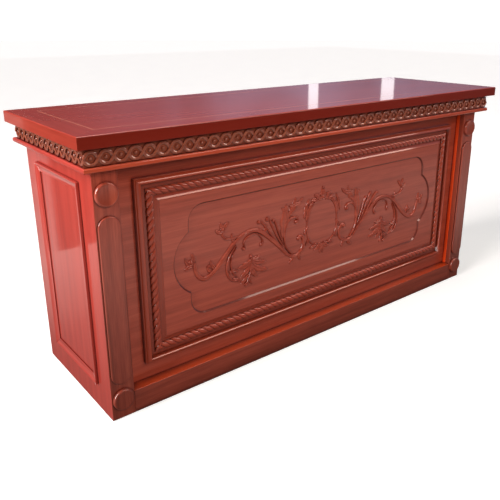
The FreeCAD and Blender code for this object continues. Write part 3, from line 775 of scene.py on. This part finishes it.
def turned(profile, segments, centre, axis):
    """A turned piece: a profile of (radius, height) pairs spun round an axis through centre."""
    outward = Vector(axis)
    side = outward.orthogonal().normalized()
    bpy.ops.object.select_all(action="DESELECT")
    bpy.ops.mesh.primitive_plane_add(size=1)
    piece = bpy.context.object
    bpy.ops.object.mode_set(mode="EDIT")
    bpy.ops.mesh.select_all(action="SELECT")
    bpy.ops.mesh.delete(type="VERT")
    bpy.ops.object.mode_set(mode="OBJECT")
    piece.data.vertices.add(len(profile))
    piece.data.edges.add(len(profile) - 1)
    for k, (radius, height) in enumerate(profile):
        piece.data.vertices[k].co = Vector(centre) + side * radius + outward * height
    for k, edge in enumerate(piece.data.edges):
        edge.vertices = (k, k + 1)
    only(piece)
    bpy.ops.object.mode_set(mode="EDIT")
    bpy.ops.mesh.select_all(action="SELECT")
    bpy.ops.mesh.spin(steps=segments, angle=2 * math.pi, center=centre, axis=axis)
    bpy.ops.mesh.select_all(action="SELECT")
    bpy.ops.mesh.remove_doubles(threshold=HAIR)
    bpy.ops.mesh.normals_make_consistent(inside=False)
    bpy.ops.object.mode_set(mode="OBJECT")
    return piece


print("turned pieces ready")

# %% [markdown]
# ## Guilloche frieze
# Under the top runs a guilloche: two bevelled ribbons that cross over and under each other round a row
# of buttons. One ribbon is a wave along the strip and the other its mirror image. Where a ribbon
# climbs it lies on top, and where it falls it dives below, so one cosine gives the weave. The buttons
# are turned once and repeated with an Array modifier, one to each loop. A bump pattern would be less
# work, but at the corner of the table the strip is seen from its end, and there it would look flat.

# %% The ground and the buttons of a strip
GROUND = 1 * MM
PLATE_EDGE = 0.5 * MM
BUTTON_SEGMENTS = 18
# millimetres: how far from the middle, and how high
button_profile = [(0, 4.8), (1.8, 4.5), (3.4, 3.7), (4.6, 2.6), (5.2, 0.5)]


def ground_plate(origin, along, outward, length, height):
    """The thin plate that the ribbons lie on."""
    bpy.ops.object.select_all(action="DESELECT")
    bpy.ops.mesh.primitive_cube_add(size=1)
    plate = bpy.context.object
    for vertex in plate.data.vertices:
        share = vertex.co + Vector((0.5, 0.5, 0))
        flat = origin + along * (share.x * length) + AXIS_Z * (share.z * height)
        vertex.co = flat + outward * (share.y * GROUND)
    only(plate)
    bpy.ops.object.mode_set(mode="EDIT")
    bpy.ops.mesh.select_all(action="SELECT")
    bpy.ops.mesh.normals_make_consistent(inside=False)
    bpy.ops.mesh.bevel(offset=PLATE_EDGE, segments=2, affect="EDGES")
    bpy.ops.object.mode_set(mode="OBJECT")
    return plate


def button_row(origin, along, outward, pitch, count):
    """One turned button, repeated along the strip."""
    profile = [(r * MM, h * MM) for r, h in button_profile]
    button = turned(profile, BUTTON_SEGMENTS, origin + along * (pitch / 2), outward)
    apply_modifier(
        button, "ARRAY", count=count, use_relative_offset=False, use_constant_offset=True,
        constant_offset_displace=along * pitch,
    )
    return button


print("buttons", 2 * button_profile[-1][0], "mm across")

# %% How a guilloche strip is carved
RIBBON_SWING = 14.5 * MM
RIBBON_SHOULDER = 0.25  # fills out the wave beside each crossing
RIBBON_HALF = 4.0 * MM
RIBBON_STEPS = (10, 12)
EDGE_RISE = 1.6 * MM
WEAVE = 1.0 * MM
BEVEL_RISE = 1.5 * MM
BEVEL_SHARE = 0.8  # the rest of the ribbon's half width is flat
GUILLOCHE_PITCH = 36 * MM


def join(pieces):
    """Joins several meshes into the first."""
    bpy.ops.object.select_all(action="DESELECT")
    for piece in pieces:
        piece.select_set(True)
    bpy.context.view_layer.objects.active = pieces[0]
    bpy.ops.object.join()
    return pieces[0]


def guilloche_strip(node, along, outward, material):
    """A carved strip in place of a CAD strip, along one direction and facing outward."""
    low, high = (Vector(corner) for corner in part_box(node))
    size = high - low
    length = abs(size.dot(along))
    origin = (low + high - along * length - outward * abs(size.dot(outward))) / 2
    count = round(length / GUILLOCHE_PITCH)
    pitch = length / count

    def to_ground(point):
        return point - outward * ((point - origin).dot(outward) - GROUND / 2)

    def ribbon(turn):
        def place(u, v):
            phase = math.pi * u * count
            shoulder = 1 + RIBBON_SHOULDER * math.cos(phase) ** 2
            swing = turn * RIBBON_SWING * math.sin(phase) * shoulder
            slope = turn * RIBBON_SWING * math.pi / pitch * math.cos(phase)
            lean = math.hypot(1, slope)
            across = (2 * v - 1) * RIBBON_HALF
            bevel = BEVEL_RISE * min(1, (1 - abs(2 * v - 1)) / BEVEL_SHARE)
            lift = GROUND + EDGE_RISE + WEAVE * (1 + turn * math.cos(phase)) + bevel
            s = min(max(u * length - across * slope / lean, 0), length)
            w = swing + across / lean
            return origin + along * s + AXIS_Z * w + outward * lift

        return carved_sheet(count * RIBBON_STEPS[0], RIBBON_STEPS[1], place, to_ground)

    buttons = button_row(origin, along, outward, pitch, count)
    plate = ground_plate(origin, along, outward, length, size.z)
    strip = join([plate, ribbon(1), ribbon(-1), buttons])
    finish_piece(strip, node + "_carving", material, slots[node], node, smooth=50)
    print(strip.name, "units", count, "faces", len(strip.data.polygons))


print("a loop every", round(GUILLOCHE_PITCH / MM), "mm, ribbons", round(2 * RIBBON_HALF / MM), "mm wide")

# %% Three guilloche strips
brown_tones = ("#62301f", "#783a27", "#8a4a32")
# browner than the boards, with painted shade in the gaps between the ribbons, and the lacquer glints
carved_frieze = wood("carved mahogany, brown glaze, gloss lacquer", "X", brown_tones, reach=9 * MM, wear=0.1)
guilloche_strip("guilloche_front", AXIS_X, -AXIS_Y, carved_frieze)
guilloche_strip("guilloche_left", -AXIS_Y, -AXIS_X, carved_frieze)
guilloche_strip("guilloche_right", AXIS_Y, AXIS_X, carved_frieze)

# %% [markdown]
# ## Rope moulding
# Inside the frame lies a carved rope. A rope is a half-round bar whose strands climb round it at a
# steady angle, so the grid is sheared along the strands, and each strand swells between two sharp
# valleys. The bar is made a little long and cut to its mitres with Bisect, as a joiner does. Twisted
# tubes would look alike, but one sheet stays closed where the mitres cut it.

# %% How a rope is carved
ROPE_PITCH = 20.5 * MM
ROPE_SLANT = 1.15  # how far a strand runs along while it crosses the bar, in widths
VALLEY = 0.7  # share of the radius left between two strands
BAR_FOOT = 0.12  # share of the height that stands under the strands
STRAND_STEPS = 10
BAR_STEPS = 12


def rope_bar(node, along, inward, material):
    """A rope in place of a CAD length. along and inward are directions in the face of the frame."""
    low, high = (Vector(corner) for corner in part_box(node))
    middle = (low + high) / 2
    outward = -AXIS_Y
    seat = high.y
    length = abs((high - low).dot(along))
    width = abs((high - low).dot(inward))
    height = high.y - low.y
    start = middle - along * (length / 2) - inward * (width / 2)
    start.y = seat
    strands = round(length / ROPE_PITCH)
    pitch = length / strands
    extra = math.ceil(width / pitch) + 1
    total = strands + 2 * extra

    def place(u, v):
        turns = u * total
        swell = math.sqrt(1 - (2 * (turns % 1.0) - 1) ** 2)
        angle = math.pi * v
        radius = VALLEY + (1 - VALLEY) * swell
        s = (turns - extra) * pitch - (v - 0.5) * width * ROPE_SLANT
        across = width / 2 * (1 - radius * math.cos(angle))
        lift = height * (BAR_FOOT + (1 - BAR_FOOT) * radius * math.sin(angle))
        return start + along * s + inward * across + outward * lift

    def to_ground(point):
        return Vector((point.x, seat, point.z))

    rope = carved_sheet(total * STRAND_STEPS, BAR_STEPS, place, to_ground)
    only(rope)
    bpy.ops.object.mode_set(mode="EDIT")
    for corner, normal in ((start, along - inward), (start + along * length, -along - inward)):
        bpy.ops.mesh.select_all(action="SELECT")
        bpy.ops.mesh.bisect(plane_co=corner, plane_no=normal, use_fill=True, clear_inner=True)
    bpy.ops.object.mode_set(mode="OBJECT")
    finish_piece(rope, node + "_carving", material, slots[node], node, smooth=50)
    print(rope.name, "strands", strands, "faces", len(rope.data.polygons))


print("a strand every", round(ROPE_PITCH / MM, 1), "mm")

# %% Four lengths of rope
# the frame's colour, with a glint on every strand and painted shade in the valleys between them
carved_rope = wood(
    "carved mahogany, gloss lacquer", "X", moulding_tones, reach=10 * MM, wear=0.1, hollow=DEEP_HOLLOW_SHADE,
)
rope_bar("rope_bottom", AXIS_X, AXIS_Z, carved_rope)
rope_bar("rope_right", AXIS_Z, -AXIS_X, carved_rope)
rope_bar("rope_top", -AXIS_X, -AXIS_Z, carved_rope)
rope_bar("rope_left", -AXIS_Z, AXIS_X, carved_rope)

# %% [markdown]
# ## Roundels and plaques
# Each pilaster carries two turned roundels and a long plaque between them. A roundel comes off a
# lathe, so its profile is spun, which also gives the fine rim inside its edge. A plaque could be a
# box with two cylinders. Drawn out from one disc it has no seam: a circle is added, one half of its
# vertices is moved up, and the face is extruded and its edge rounded.

# %% Roundels
ROUNDEL_SEGMENTS = 64
PROFILE_RADIUS = 30 * MM
# millimetres: how far from the middle, and how high, for a roundel of 30 mm radius
roundel_profile = [
    (0, 9.0), (12, 9.0), (21, 9.3), (24.5, 9.8), (26.5, 9.7), (28.3, 8.8), (29.5, 7.2), (30, 5.0), (30, 0),
]
for side in ("left", "right"):
    node = f"roundels_{side}"
    low, high = (Vector(corner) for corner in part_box(node))
    radius = (high.x - low.x) / 2
    scale = radius / PROFILE_RADIUS
    centre_x = (low.x + high.x) / 2
    profile = [(r * scale * MM, h * MM) for r, h in roundel_profile]
    centres = [Vector((centre_x, high.y, z)) for z in (low.z + radius, high.z - radius)]
    pair = [turned(profile, ROUNDEL_SEGMENTS, centre, -AXIS_Y) for centre in centres]
    finish_piece(join(pair), f"roundels_{side}_turned", dark_wood["Z"], slots[node], node)
    print(node, "centre", round(centre_x, 4), "radius", round(radius, 4))

# %% Plaques
PLAQUE_EDGE = 3.2 * MM
PLAQUE_ANGLE = math.radians(60)
PLAQUE_STEPS = 64
for side in ("left", "right"):
    node = f"plaque_{side}"
    low, high = (Vector(corner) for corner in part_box(node))
    radius = (high.x - low.x) / 2
    bpy.ops.object.select_all(action="DESELECT")
    bpy.ops.mesh.primitive_circle_add(
        vertices=PLAQUE_STEPS, radius=radius, fill_type="NGON",
        location=((low.x + high.x) / 2, high.y, low.z + radius), rotation=(math.pi / 2, 0, 0),
    )
    plaque = bpy.context.object
    bpy.ops.object.transform_apply(location=True, rotation=True, scale=True)
    for vertex in plaque.data.vertices:
        if vertex.co.z > low.z + radius + HAIR:
            vertex.co.z += high.z - low.z - 2 * radius
    bpy.ops.object.mode_set(mode="EDIT")
    bpy.ops.mesh.select_all(action="SELECT")
    bpy.ops.mesh.extrude_region_move(TRANSFORM_OT_translate={"value": (0, low.y - high.y, 0)})
    bpy.ops.mesh.select_all(action="SELECT")
    bpy.ops.mesh.normals_make_consistent(inside=False)
    bpy.ops.object.mode_set(mode="OBJECT")
    apply_modifier(
        plaque, "BEVEL", width=PLAQUE_EDGE, segments=5, limit_method="ANGLE", angle_limit=PLAQUE_ANGLE,
    )
    finish_piece(plaque, f"plaque_{side}_board", dark_wood["Z"], slots[node], node)
    print(plaque.name, "height", round(high.z - low.z, 4))

# %% [markdown]
# ## Carved panel
# The panel in the frame is a board with a sunk cartouche: straight sides, round corners and a lobe
# at each end. Inset and extrude would follow the board's own outline, so instead the shape to cut
# away is built, a box with rounded corners joined to two cylinders, and a Boolean modifier takes it
# out. The rim is then chamfered, because that is where the light catches. Painted shade, a dark tint
# on each face of the panel that doesn't look straight forward, draws the rim as a line.

# %% Sizes of the panel and its cartouche
panel_low, panel_high = (Vector(corner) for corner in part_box("carved_panel"))
TONGUE = 8 * MM
TONGUE_THICKNESS = 6 * MM
SUNK = 4.5 * MM
RIM_CHAMFER = 4.3 * MM
END_MARGIN = 36 * MM
EDGE_MARGIN = 33 * MM
CORNER = 45 * MM
CORNER_STEPS = 16
LOBE_CHORD = 174 * MM
LOBE_DEPTH = 49 * MM
LOBE_STEPS = 128
panel_half = panel_high.x - TONGUE
panel_middle = (panel_low.z + panel_high.z) / 2
panel_rise = panel_high.z - TONGUE - panel_middle
panel_face = panel_low.y
floor_y = panel_face + SUNK
cartouche_half = panel_half - END_MARGIN
cartouche_rise = panel_rise - EDGE_MARGIN
shoulder = cartouche_half - LOBE_DEPTH
lobe_radius = ((LOBE_CHORD / 2) ** 2 + LOBE_DEPTH ** 2) / (2 * LOBE_DEPTH)
print("cartouche", round(2 * cartouche_half, 3), "by", round(2 * cartouche_rise, 3))
print("lobe radius", round(lobe_radius, 4))

# %% Helpers for cutting
def select_edges(piece, wanted):
    """Selects the edges whose two ends both meet a condition, and leaves the piece in edit mode."""
    only(piece)
    bpy.ops.object.mode_set(mode="EDIT")
    bpy.ops.mesh.select_mode(type="EDGE")
    bpy.ops.mesh.select_all(action="DESELECT")
    bpy.ops.object.mode_set(mode="OBJECT")
    for edge in piece.data.edges:
        edge.select = wanted(*(piece.data.vertices[v].co for v in edge.vertices))
    bpy.ops.object.mode_set(mode="EDIT")


def block(low, high):
    """A box between two corners, with its place in its mesh."""
    low, high = Vector(low), Vector(high)
    bpy.ops.object.select_all(action="DESELECT")
    bpy.ops.mesh.primitive_cube_add(size=1, location=(low + high) / 2, scale=high - low)
    bpy.ops.object.transform_apply(location=True, rotation=True, scale=True)
    return bpy.context.object


def boolean(piece, tool, operation):
    """Cuts or joins a tool shape and removes the tool."""
    apply_modifier(piece, "BOOLEAN", object=tool, operation=operation, solver="EXACT")
    bpy.data.objects.remove(tool)


print("cutting helpers ready")

# %% The shape to cut away
cutter_front = panel_face - SUNK
cutter = block(
    (-shoulder, cutter_front, panel_middle - cartouche_rise),
    (shoulder, floor_y, panel_middle + cartouche_rise),
)
select_edges(cutter, lambda a, b: abs(a.y - b.y) > SUNK)
bpy.ops.mesh.bevel(offset=CORNER, segments=CORNER_STEPS, affect="EDGES")
bpy.ops.object.mode_set(mode="OBJECT")
for sign in (-1, 1):
    bpy.ops.object.select_all(action="DESELECT")
    bpy.ops.mesh.primitive_cylinder_add(
        vertices=LOBE_STEPS, radius=lobe_radius, depth=floor_y - cutter_front,
        location=(sign * (cartouche_half - lobe_radius), (floor_y + cutter_front) / 2, panel_middle),
        rotation=(math.pi / 2, 0, 0),
    )
    bpy.ops.object.transform_apply(location=True, rotation=True, scale=True)
    boolean(cutter, bpy.context.object, "UNION")
print("cutter faces", len(cutter.data.polygons))

# %% Panel board with the sunk cartouche
panel = block(
    (-panel_half, panel_face, panel_middle - panel_rise),
    (panel_half, panel_high.y, panel_middle + panel_rise),
)
boolean(panel, cutter, "DIFFERENCE")


def on_rim(a, b):
    """Whether an edge lies in the face of the panel and away from its outside."""
    inside = all(abs(p.x) < panel_half - MM and abs(p.z - panel_middle) < panel_rise - MM for p in (a, b))
    return inside and abs(a.y - b.y) < HAIR and min(a.y, b.y) < panel_face + HAIR


select_edges(panel, on_rim)
bpy.ops.mesh.bevel(offset=RIM_CHAMFER, segments=1, affect="EDGES")
bpy.ops.object.mode_set(mode="OBJECT")
tongue = block((panel_low.x, panel_high.y - TONGUE_THICKNESS, panel_low.z), panel_high)
# the front's colour, with painted shade on the walls of the cartouche that draws its rim as a thin dark line
panel_wood = wood("mahogany panel, painted shade in the groove", "X", front_half_shade_tones, glaze="#4a160d")
panel_board = join([panel, tongue])
print("panel faces", len(panel_board.data.polygons))

# %% [markdown]
# ## Acanthus scroll
# In the cartouche stands a mirrored acanthus scroll: long S-shaped stems with two flutes, an oval wreath
# in the middle, leaves that fan out from them, and buds where the stems curl up. A stem is a grid laid
# along a smooth curve through a few points. A leaf is a grid too: its edge runs in and out in lobes and
# its midrib is sunk. Sculpting by hand would be livelier, but a drawing of points can be corrected
# against a photograph, one leaf at a time. One half is drawn in millimetres from the panel's middle
# and carved twice, the second time with its left and right changed over.

# %% A smooth path, and places on the panel
def smooth_path(points, t):
    """A point on the curve that runs smoothly through the points, t from 0 to 1."""
    spans = len(points) - 1
    k = min(int(t * spans), spans - 1)
    f = t * spans - k
    p0, p1, p2, p3 = (Vector(points[min(max(k + j, 0), spans)]) for j in (-1, 0, 1, 2))
    square = 2 * p0 - 5 * p1 + 4 * p2 - p3
    cube = 3 * p1 - p0 - 3 * p2 + p3
    return 0.5 * (2 * p1 + (p2 - p0) * f + square * f ** 2 + cube * f ** 3)


def on_panel(x, z, lift):
    """A point of the drawing, in millimetres from the panel's middle, at a height over the sunk floor."""
    return Vector((x * MM, floor_y - lift * MM, panel_middle + z * MM))


def to_panel_floor(point):
    """The point just under the sunk floor, so that the carving grows out of the wood."""
    return Vector((point.x, floor_y + MM, point.z))


print("sunk floor at", round(floor_y, 4), "middle at", round(panel_middle, 4))

# %% A fluted stem
CARVING_FOOT = 0.4  # millimetres, as are all heights of the carving
STEM_HEIGHT = 4.3
STEM_STEPS = (8, 12)
STEM_TAPER = 0.7  # under 1 the stem widens quickly and stays wide
FLUTE_FLOOR = 0.68  # share of the height left at the bottom of a flute
PATH_STEP = 0.01  # how far before and behind a place its direction is taken


def stem(points, ends, belly, side, height=STEM_HEIGHT):
    """A fluted stem along a curve, widest at its middle."""
    def place(u, v):
        here = smooth_path(points, u)
        before = smooth_path(points, max(u - PATH_STEP, 0))
        ahead = smooth_path(points, min(u + PATH_STEP, 1)) - before
        across = Vector((-ahead.y, ahead.x)).normalized()
        half = (ends + (belly - ends) * math.sin(math.pi * u) ** STEM_TAPER) / 2
        here = here + across * half * (2 * v - 1)
        crown = math.sqrt(max(0.0, 1 - (2 * v - 1) ** 2))
        flute = FLUTE_FLOOR + (1 - FLUTE_FLOOR) * abs(math.sin(2 * math.pi * v))
        return on_panel(side * here.x, here.y, CARVING_FOOT + height * crown * flute)

    return carved_sheet(STEM_STEPS[0] * (len(points) - 1), STEM_STEPS[1], place, to_panel_floor)


print("stems up to", CARVING_FOOT + STEM_HEIGHT, "mm high")

# %% An acanthus leaf
LEAF_HEIGHT = 3.6
LEAF_STEPS = (18, 10)
LEAF_LOBES = 3
LEAF_TAPER = 0.6  # under 1 the lobes are full and the notches narrow
# shares of the leaf's own length: how far its edges lag, where its outline starts and how far it runs
LEAF_LAG = 0.1
LEAF_FOOT = 0.08
LEAF_SPAN = 0.9
# shares of its width: its half, its blunt tip, what is left at a notch, and the sunk midrib
LEAF_FULL = 0.56
LEAF_TIP = 0.02
NOTCH_FLOOR = 0.66
RIB_WIDTH = 0.2
# shares of its height: the depth of the midrib, and what is left in a vein and at the tip
RIB_DEPTH = 0.5
VEIN_FLOOR = 0.8
LEAF_LOW = 0.6


def leaf(foot, tip, width, bend, side):
    """An acanthus leaf from foot to tip: lobed edge, sunk midrib, full middle. bend bows it sideways."""
    foot, tip = Vector(foot), Vector(tip)
    run = tip - foot
    across = Vector((-run.y, run.x)).normalized()

    def place(u, v):
        off = abs(2 * v - 1)
        spine = foot + run * (u - LEAF_LAG * off * (1 - u)) + across * bend * math.sin(math.pi * u)
        notch = NOTCH_FLOOR + (1 - NOTCH_FLOOR) * abs(math.sin(math.pi * LEAF_LOBES * u)) ** LEAF_TAPER
        outline = math.sin(math.pi * (LEAF_FOOT + LEAF_SPAN * u)) ** LEAF_TAPER
        half = width * LEAF_FULL * (outline * notch + LEAF_TIP)
        here = spine + across * half * (2 * v - 1)
        rib = 1 - RIB_DEPTH * math.exp(-((off / RIB_WIDTH) ** 2))
        vein = VEIN_FLOOR + (1 - VEIN_FLOOR) * notch
        crown = math.sqrt(1 - min(off, 1) ** 2)
        swell = LEAF_LOW + (1 - LEAF_LOW) * math.sin(math.pi * min(u + LEAF_LAG, 1))
        return on_panel(side * here.x, here.y, CARVING_FOOT + LEAF_HEIGHT * crown * rib * vein * swell)

    return carved_sheet(LEAF_STEPS[0], LEAF_STEPS[1], place, to_panel_floor)


print("leaves up to", CARVING_FOOT + LEAF_HEIGHT, "mm high, with", LEAF_LOBES, "lobes a side")

# %% A bud
BUD_SEGMENTS = 14
# how far from the middle, as a share of the bud's radius, and how high in millimetres
bud_profile = [
    (0, 5.2), (0.3, 4.9), (0.5, 4.1), (0.58, 3.0), (0.66, 3.0), (0.8, 4.0), (0.92, 3.3), (1, 1.0), (1, -1),
]


def bud(x, z, radius, side):
    """A curled bud: a dome inside a raised ring."""
    profile = [(r * radius * MM, h * MM) for r, h in bud_profile]
    return turned(profile, BUD_SEGMENTS, on_panel(side * x, z, 0), -AXIS_Y)


print("buds up to", bud_profile[0][1], "mm high")

# %% The drawing of the scroll
# a stem: the points it runs through, its width at the ends and at its middle
stems = [
    ([
        (478, -4), (478, -16), (470, -44), (448, -60), (416, -47),
        (380, -14), (346, 20), (316, 39), (284, 45),
    ], 8, 15),
    ([(302, 43), (284, 45), (262, 41), (240, 28), (214, 6), (178, -28), (146, -62)], 12, 15),
    ([(162, -44), (146, -62), (119, -75), (92, -67), (79, -46), (82, -22), (96, -14), (104, -24)], 6, 13),
    ([(114, 32), (104, 40), (112, 50), (132, 51), (151, 34), (158, 0), (150, -38), (128, -66)], 5, 9),
    ([(322, 38), (350, 37), (374, 41), (386, 56), (382, 70)], 4, 8),
    ([(340, 14), (360, -12), (371, -40), (370, -68), (356, -90), (338, -98)], 4, 9),
    ([(338, 8), (352, -16), (358, -44), (350, -72), (336, -84)], 3, 6),
    ([(308, -2), (311, 16), (298, 29), (272, 33), (252, 22), (242, 2), (248, -8)], 4, 6),
    ([(286, -32), (283, -60), (290, -88), (304, -114)], 4, 7),
    ([(166, -34), (196, -2), (226, 40), (250, 66), (262, 64)], 4, 8),
    ([(164, -30), (186, 4), (206, 44), (220, 70), (230, 68)], 4, 8),
    ([(162, -26), (178, 10), (190, 42), (199, 60), (207, 57)], 4, 7),
]
wreath = [(0, 90), (22, 87), (42, 76), (57, 52), (65, 18), (63, -18), (52, -42), (32, -57), (0, -62)]
# a leaf: its foot, its tip, its width and how far it bows
leaves = [
    ((160, 0), (150, 98), 27, -5), ((150, 62), (112, 112), 20, 10), ((136, 92), (82, 108), 15, 9),
    ((146, 44), (168, 92), 16, 6), ((67, 34), (40, 88), 15, -6), ((76, 44), (58, 98), 13, -4),
    ((4, 90), (2, 124), 16, -2), ((12, 88), (36, 108), 17, 3), ((24, 85), (50, 92), 14, 3),
    ((40, 76), (60, 78), 11, 3), ((62, 8), (76, -16), 10, 2), ((56, -32), (70, -52), 12, -2),
    ((8, -58), (34, -78), 16, -3), ((2, -60), (6, -92), 15, 0), ((24, -56), (52, -66), 12, -2),
    ((286, -46), (334, -62), 19, -5), ((288, -58), (322, -92), 17, -4), ((286, -66), (262, -104), 18, 4),
    ((284, -56), (222, -92), 19, 7), ((284, -46), (228, -64), 17, 5), ((284, -40), (250, -42), 13, 3),
    ((296, -90), (324, -112), 12, -2), ((294, -92), (282, -122), 11, 2),
    ((364, -64), (332, -70), 12, -3), ((352, -90), (324, -104), 12, -3),
    ((486, -10), (508, 14), 15, -4), ((484, -6), (486, 24), 13, 3), ((486, -14), (510, -20), 13, 3),
    ((384, 62), (408, 72), 13, -3), ((384, 66), (392, 92), 13, 2), ((382, 66), (362, 88), 14, -3),
    ((408, -42), (426, -12), 13, -4), ((420, -48), (440, -26), 11, -3), ((340, 20), (352, 52), 12, -4),
    ((240, 26), (228, 52), 13, 2), ((118, -70), (138, -96), 13, -3), ((98, -66), (92, -94), 13, 2),
]
# a bud: its place and its radius
buds = [
    (490, -2, 9), (430, -28, 6), (384, 70, 8), (256, 64, 6), (225, 66, 6), (203, 57, 5),
    (248, -6, 6), (312, -4, 6), (98, -20, 9), (110, 36, 8), (304, -118, 7), (286, -34, 6),
]
middle_buds = [(0, 96, 9), (0, 126, 4)]
print(len(stems), "stems,", len(leaves), "leaves and", len(buds), "buds on each side")

# %% Carve the scroll
WREATH_WIDTH = (4, 6)
WREATH_HEIGHT = 2.6
# the panel's colour, its lacquer rubbed down: softer lights than on the flat wood around it
carved_scroll = wood(
    "carved mahogany, rubbed lacquer", "X", front_half_shade_tones, gloss=0.7, wear=0.0, haze=0.2,
)
carving = []
for side in (-1, 1):
    carving += [stem(points, ends, belly, side) for points, ends, belly in stems]
    carving.append(stem(wreath, WREATH_WIDTH[0], WREATH_WIDTH[1], side, WREATH_HEIGHT))
    carving += [leaf(foot, tip, width, bend, side) for foot, tip, width, bend in leaves]
    carving += [bud(x, z, radius, side) for x, z, radius in buds]
carving += [bud(x, z, radius, 1) for x, z, radius in middle_buds]
scroll = join(carving)
panel_slot = slots["carved_panel"]
finish_piece(panel_board, "carved_panel_board", panel_wood, panel_slot, "carved_panel", smooth=30)
finish_piece(scroll, "carved_panel_scroll", carved_scroll, panel_slot, smooth=60)
print(scroll.name, "faces", len(scroll.data.polygons))

# %% [markdown]
# ## Floor pads
# Six thin plastic pads keep the boards off the floor. Their shape is right in the CAD model, so
# they only get a material: black moulded plastic with a fine grain. Nobody sees more of them than a
# thin dark line, so new shapes would add nothing.

# %% Pads
PAD_GRAINS_PER_METRE = 900.0  # grains of about 1 mm, a few times the real ones, so that they show
PAD_GRAIN_DEPTH = 0.1 * MM
# a dull black with no clear reflection
pad_plastic = bpy.data.materials.new("black polyethylene, moulded")
pad_tree = new_tree(pad_plastic)
pad_place = add_node(pad_tree, "TexCoord")
pad_grain = add_node(pad_tree, "TexNoise", {
    "Vector": pad_place.outputs["Object"], "Scale": PAD_GRAINS_PER_METRE, "Detail": 2.0,
})
pad_tone = add_node(pad_tree, "ValToRGB", {"Fac": pad_grain.outputs["Fac"]})
set_ramp(pad_tone, [(0.3, linear("#161616")), (0.7, linear("#232323"))])
pad_bump = add_node(pad_tree, "Bump", {
    "Height": pad_grain.outputs["Fac"], "Strength": 0.2, "Distance": PAD_GRAIN_DEPTH,
})
pad_surface = add_node(pad_tree, "BsdfPrincipled", {
    "Base Color": pad_tone.outputs["Color"], "Roughness": 0.55, "Normal": pad_bump.outputs["Normal"],
})
add_node(pad_tree, "OutputMaterial", {"Surface": pad_surface.outputs["BSDF"]})
pads = frame["nodes"]["floor_glides"]
pads.data.materials.clear()
pads.data.materials.append(pad_plastic)
print("pads painted:", len(pads.data.polygons), "faces")

# %% [markdown]
# ## Size
# The dressed table must stay inside the box of the construction model.

# %% Count the faces
bpy.ops.object.select_all(action="DESELECT")
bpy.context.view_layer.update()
faces = sum(len(o.data.polygons) for o in bpy.data.objects if o.type == "MESH")
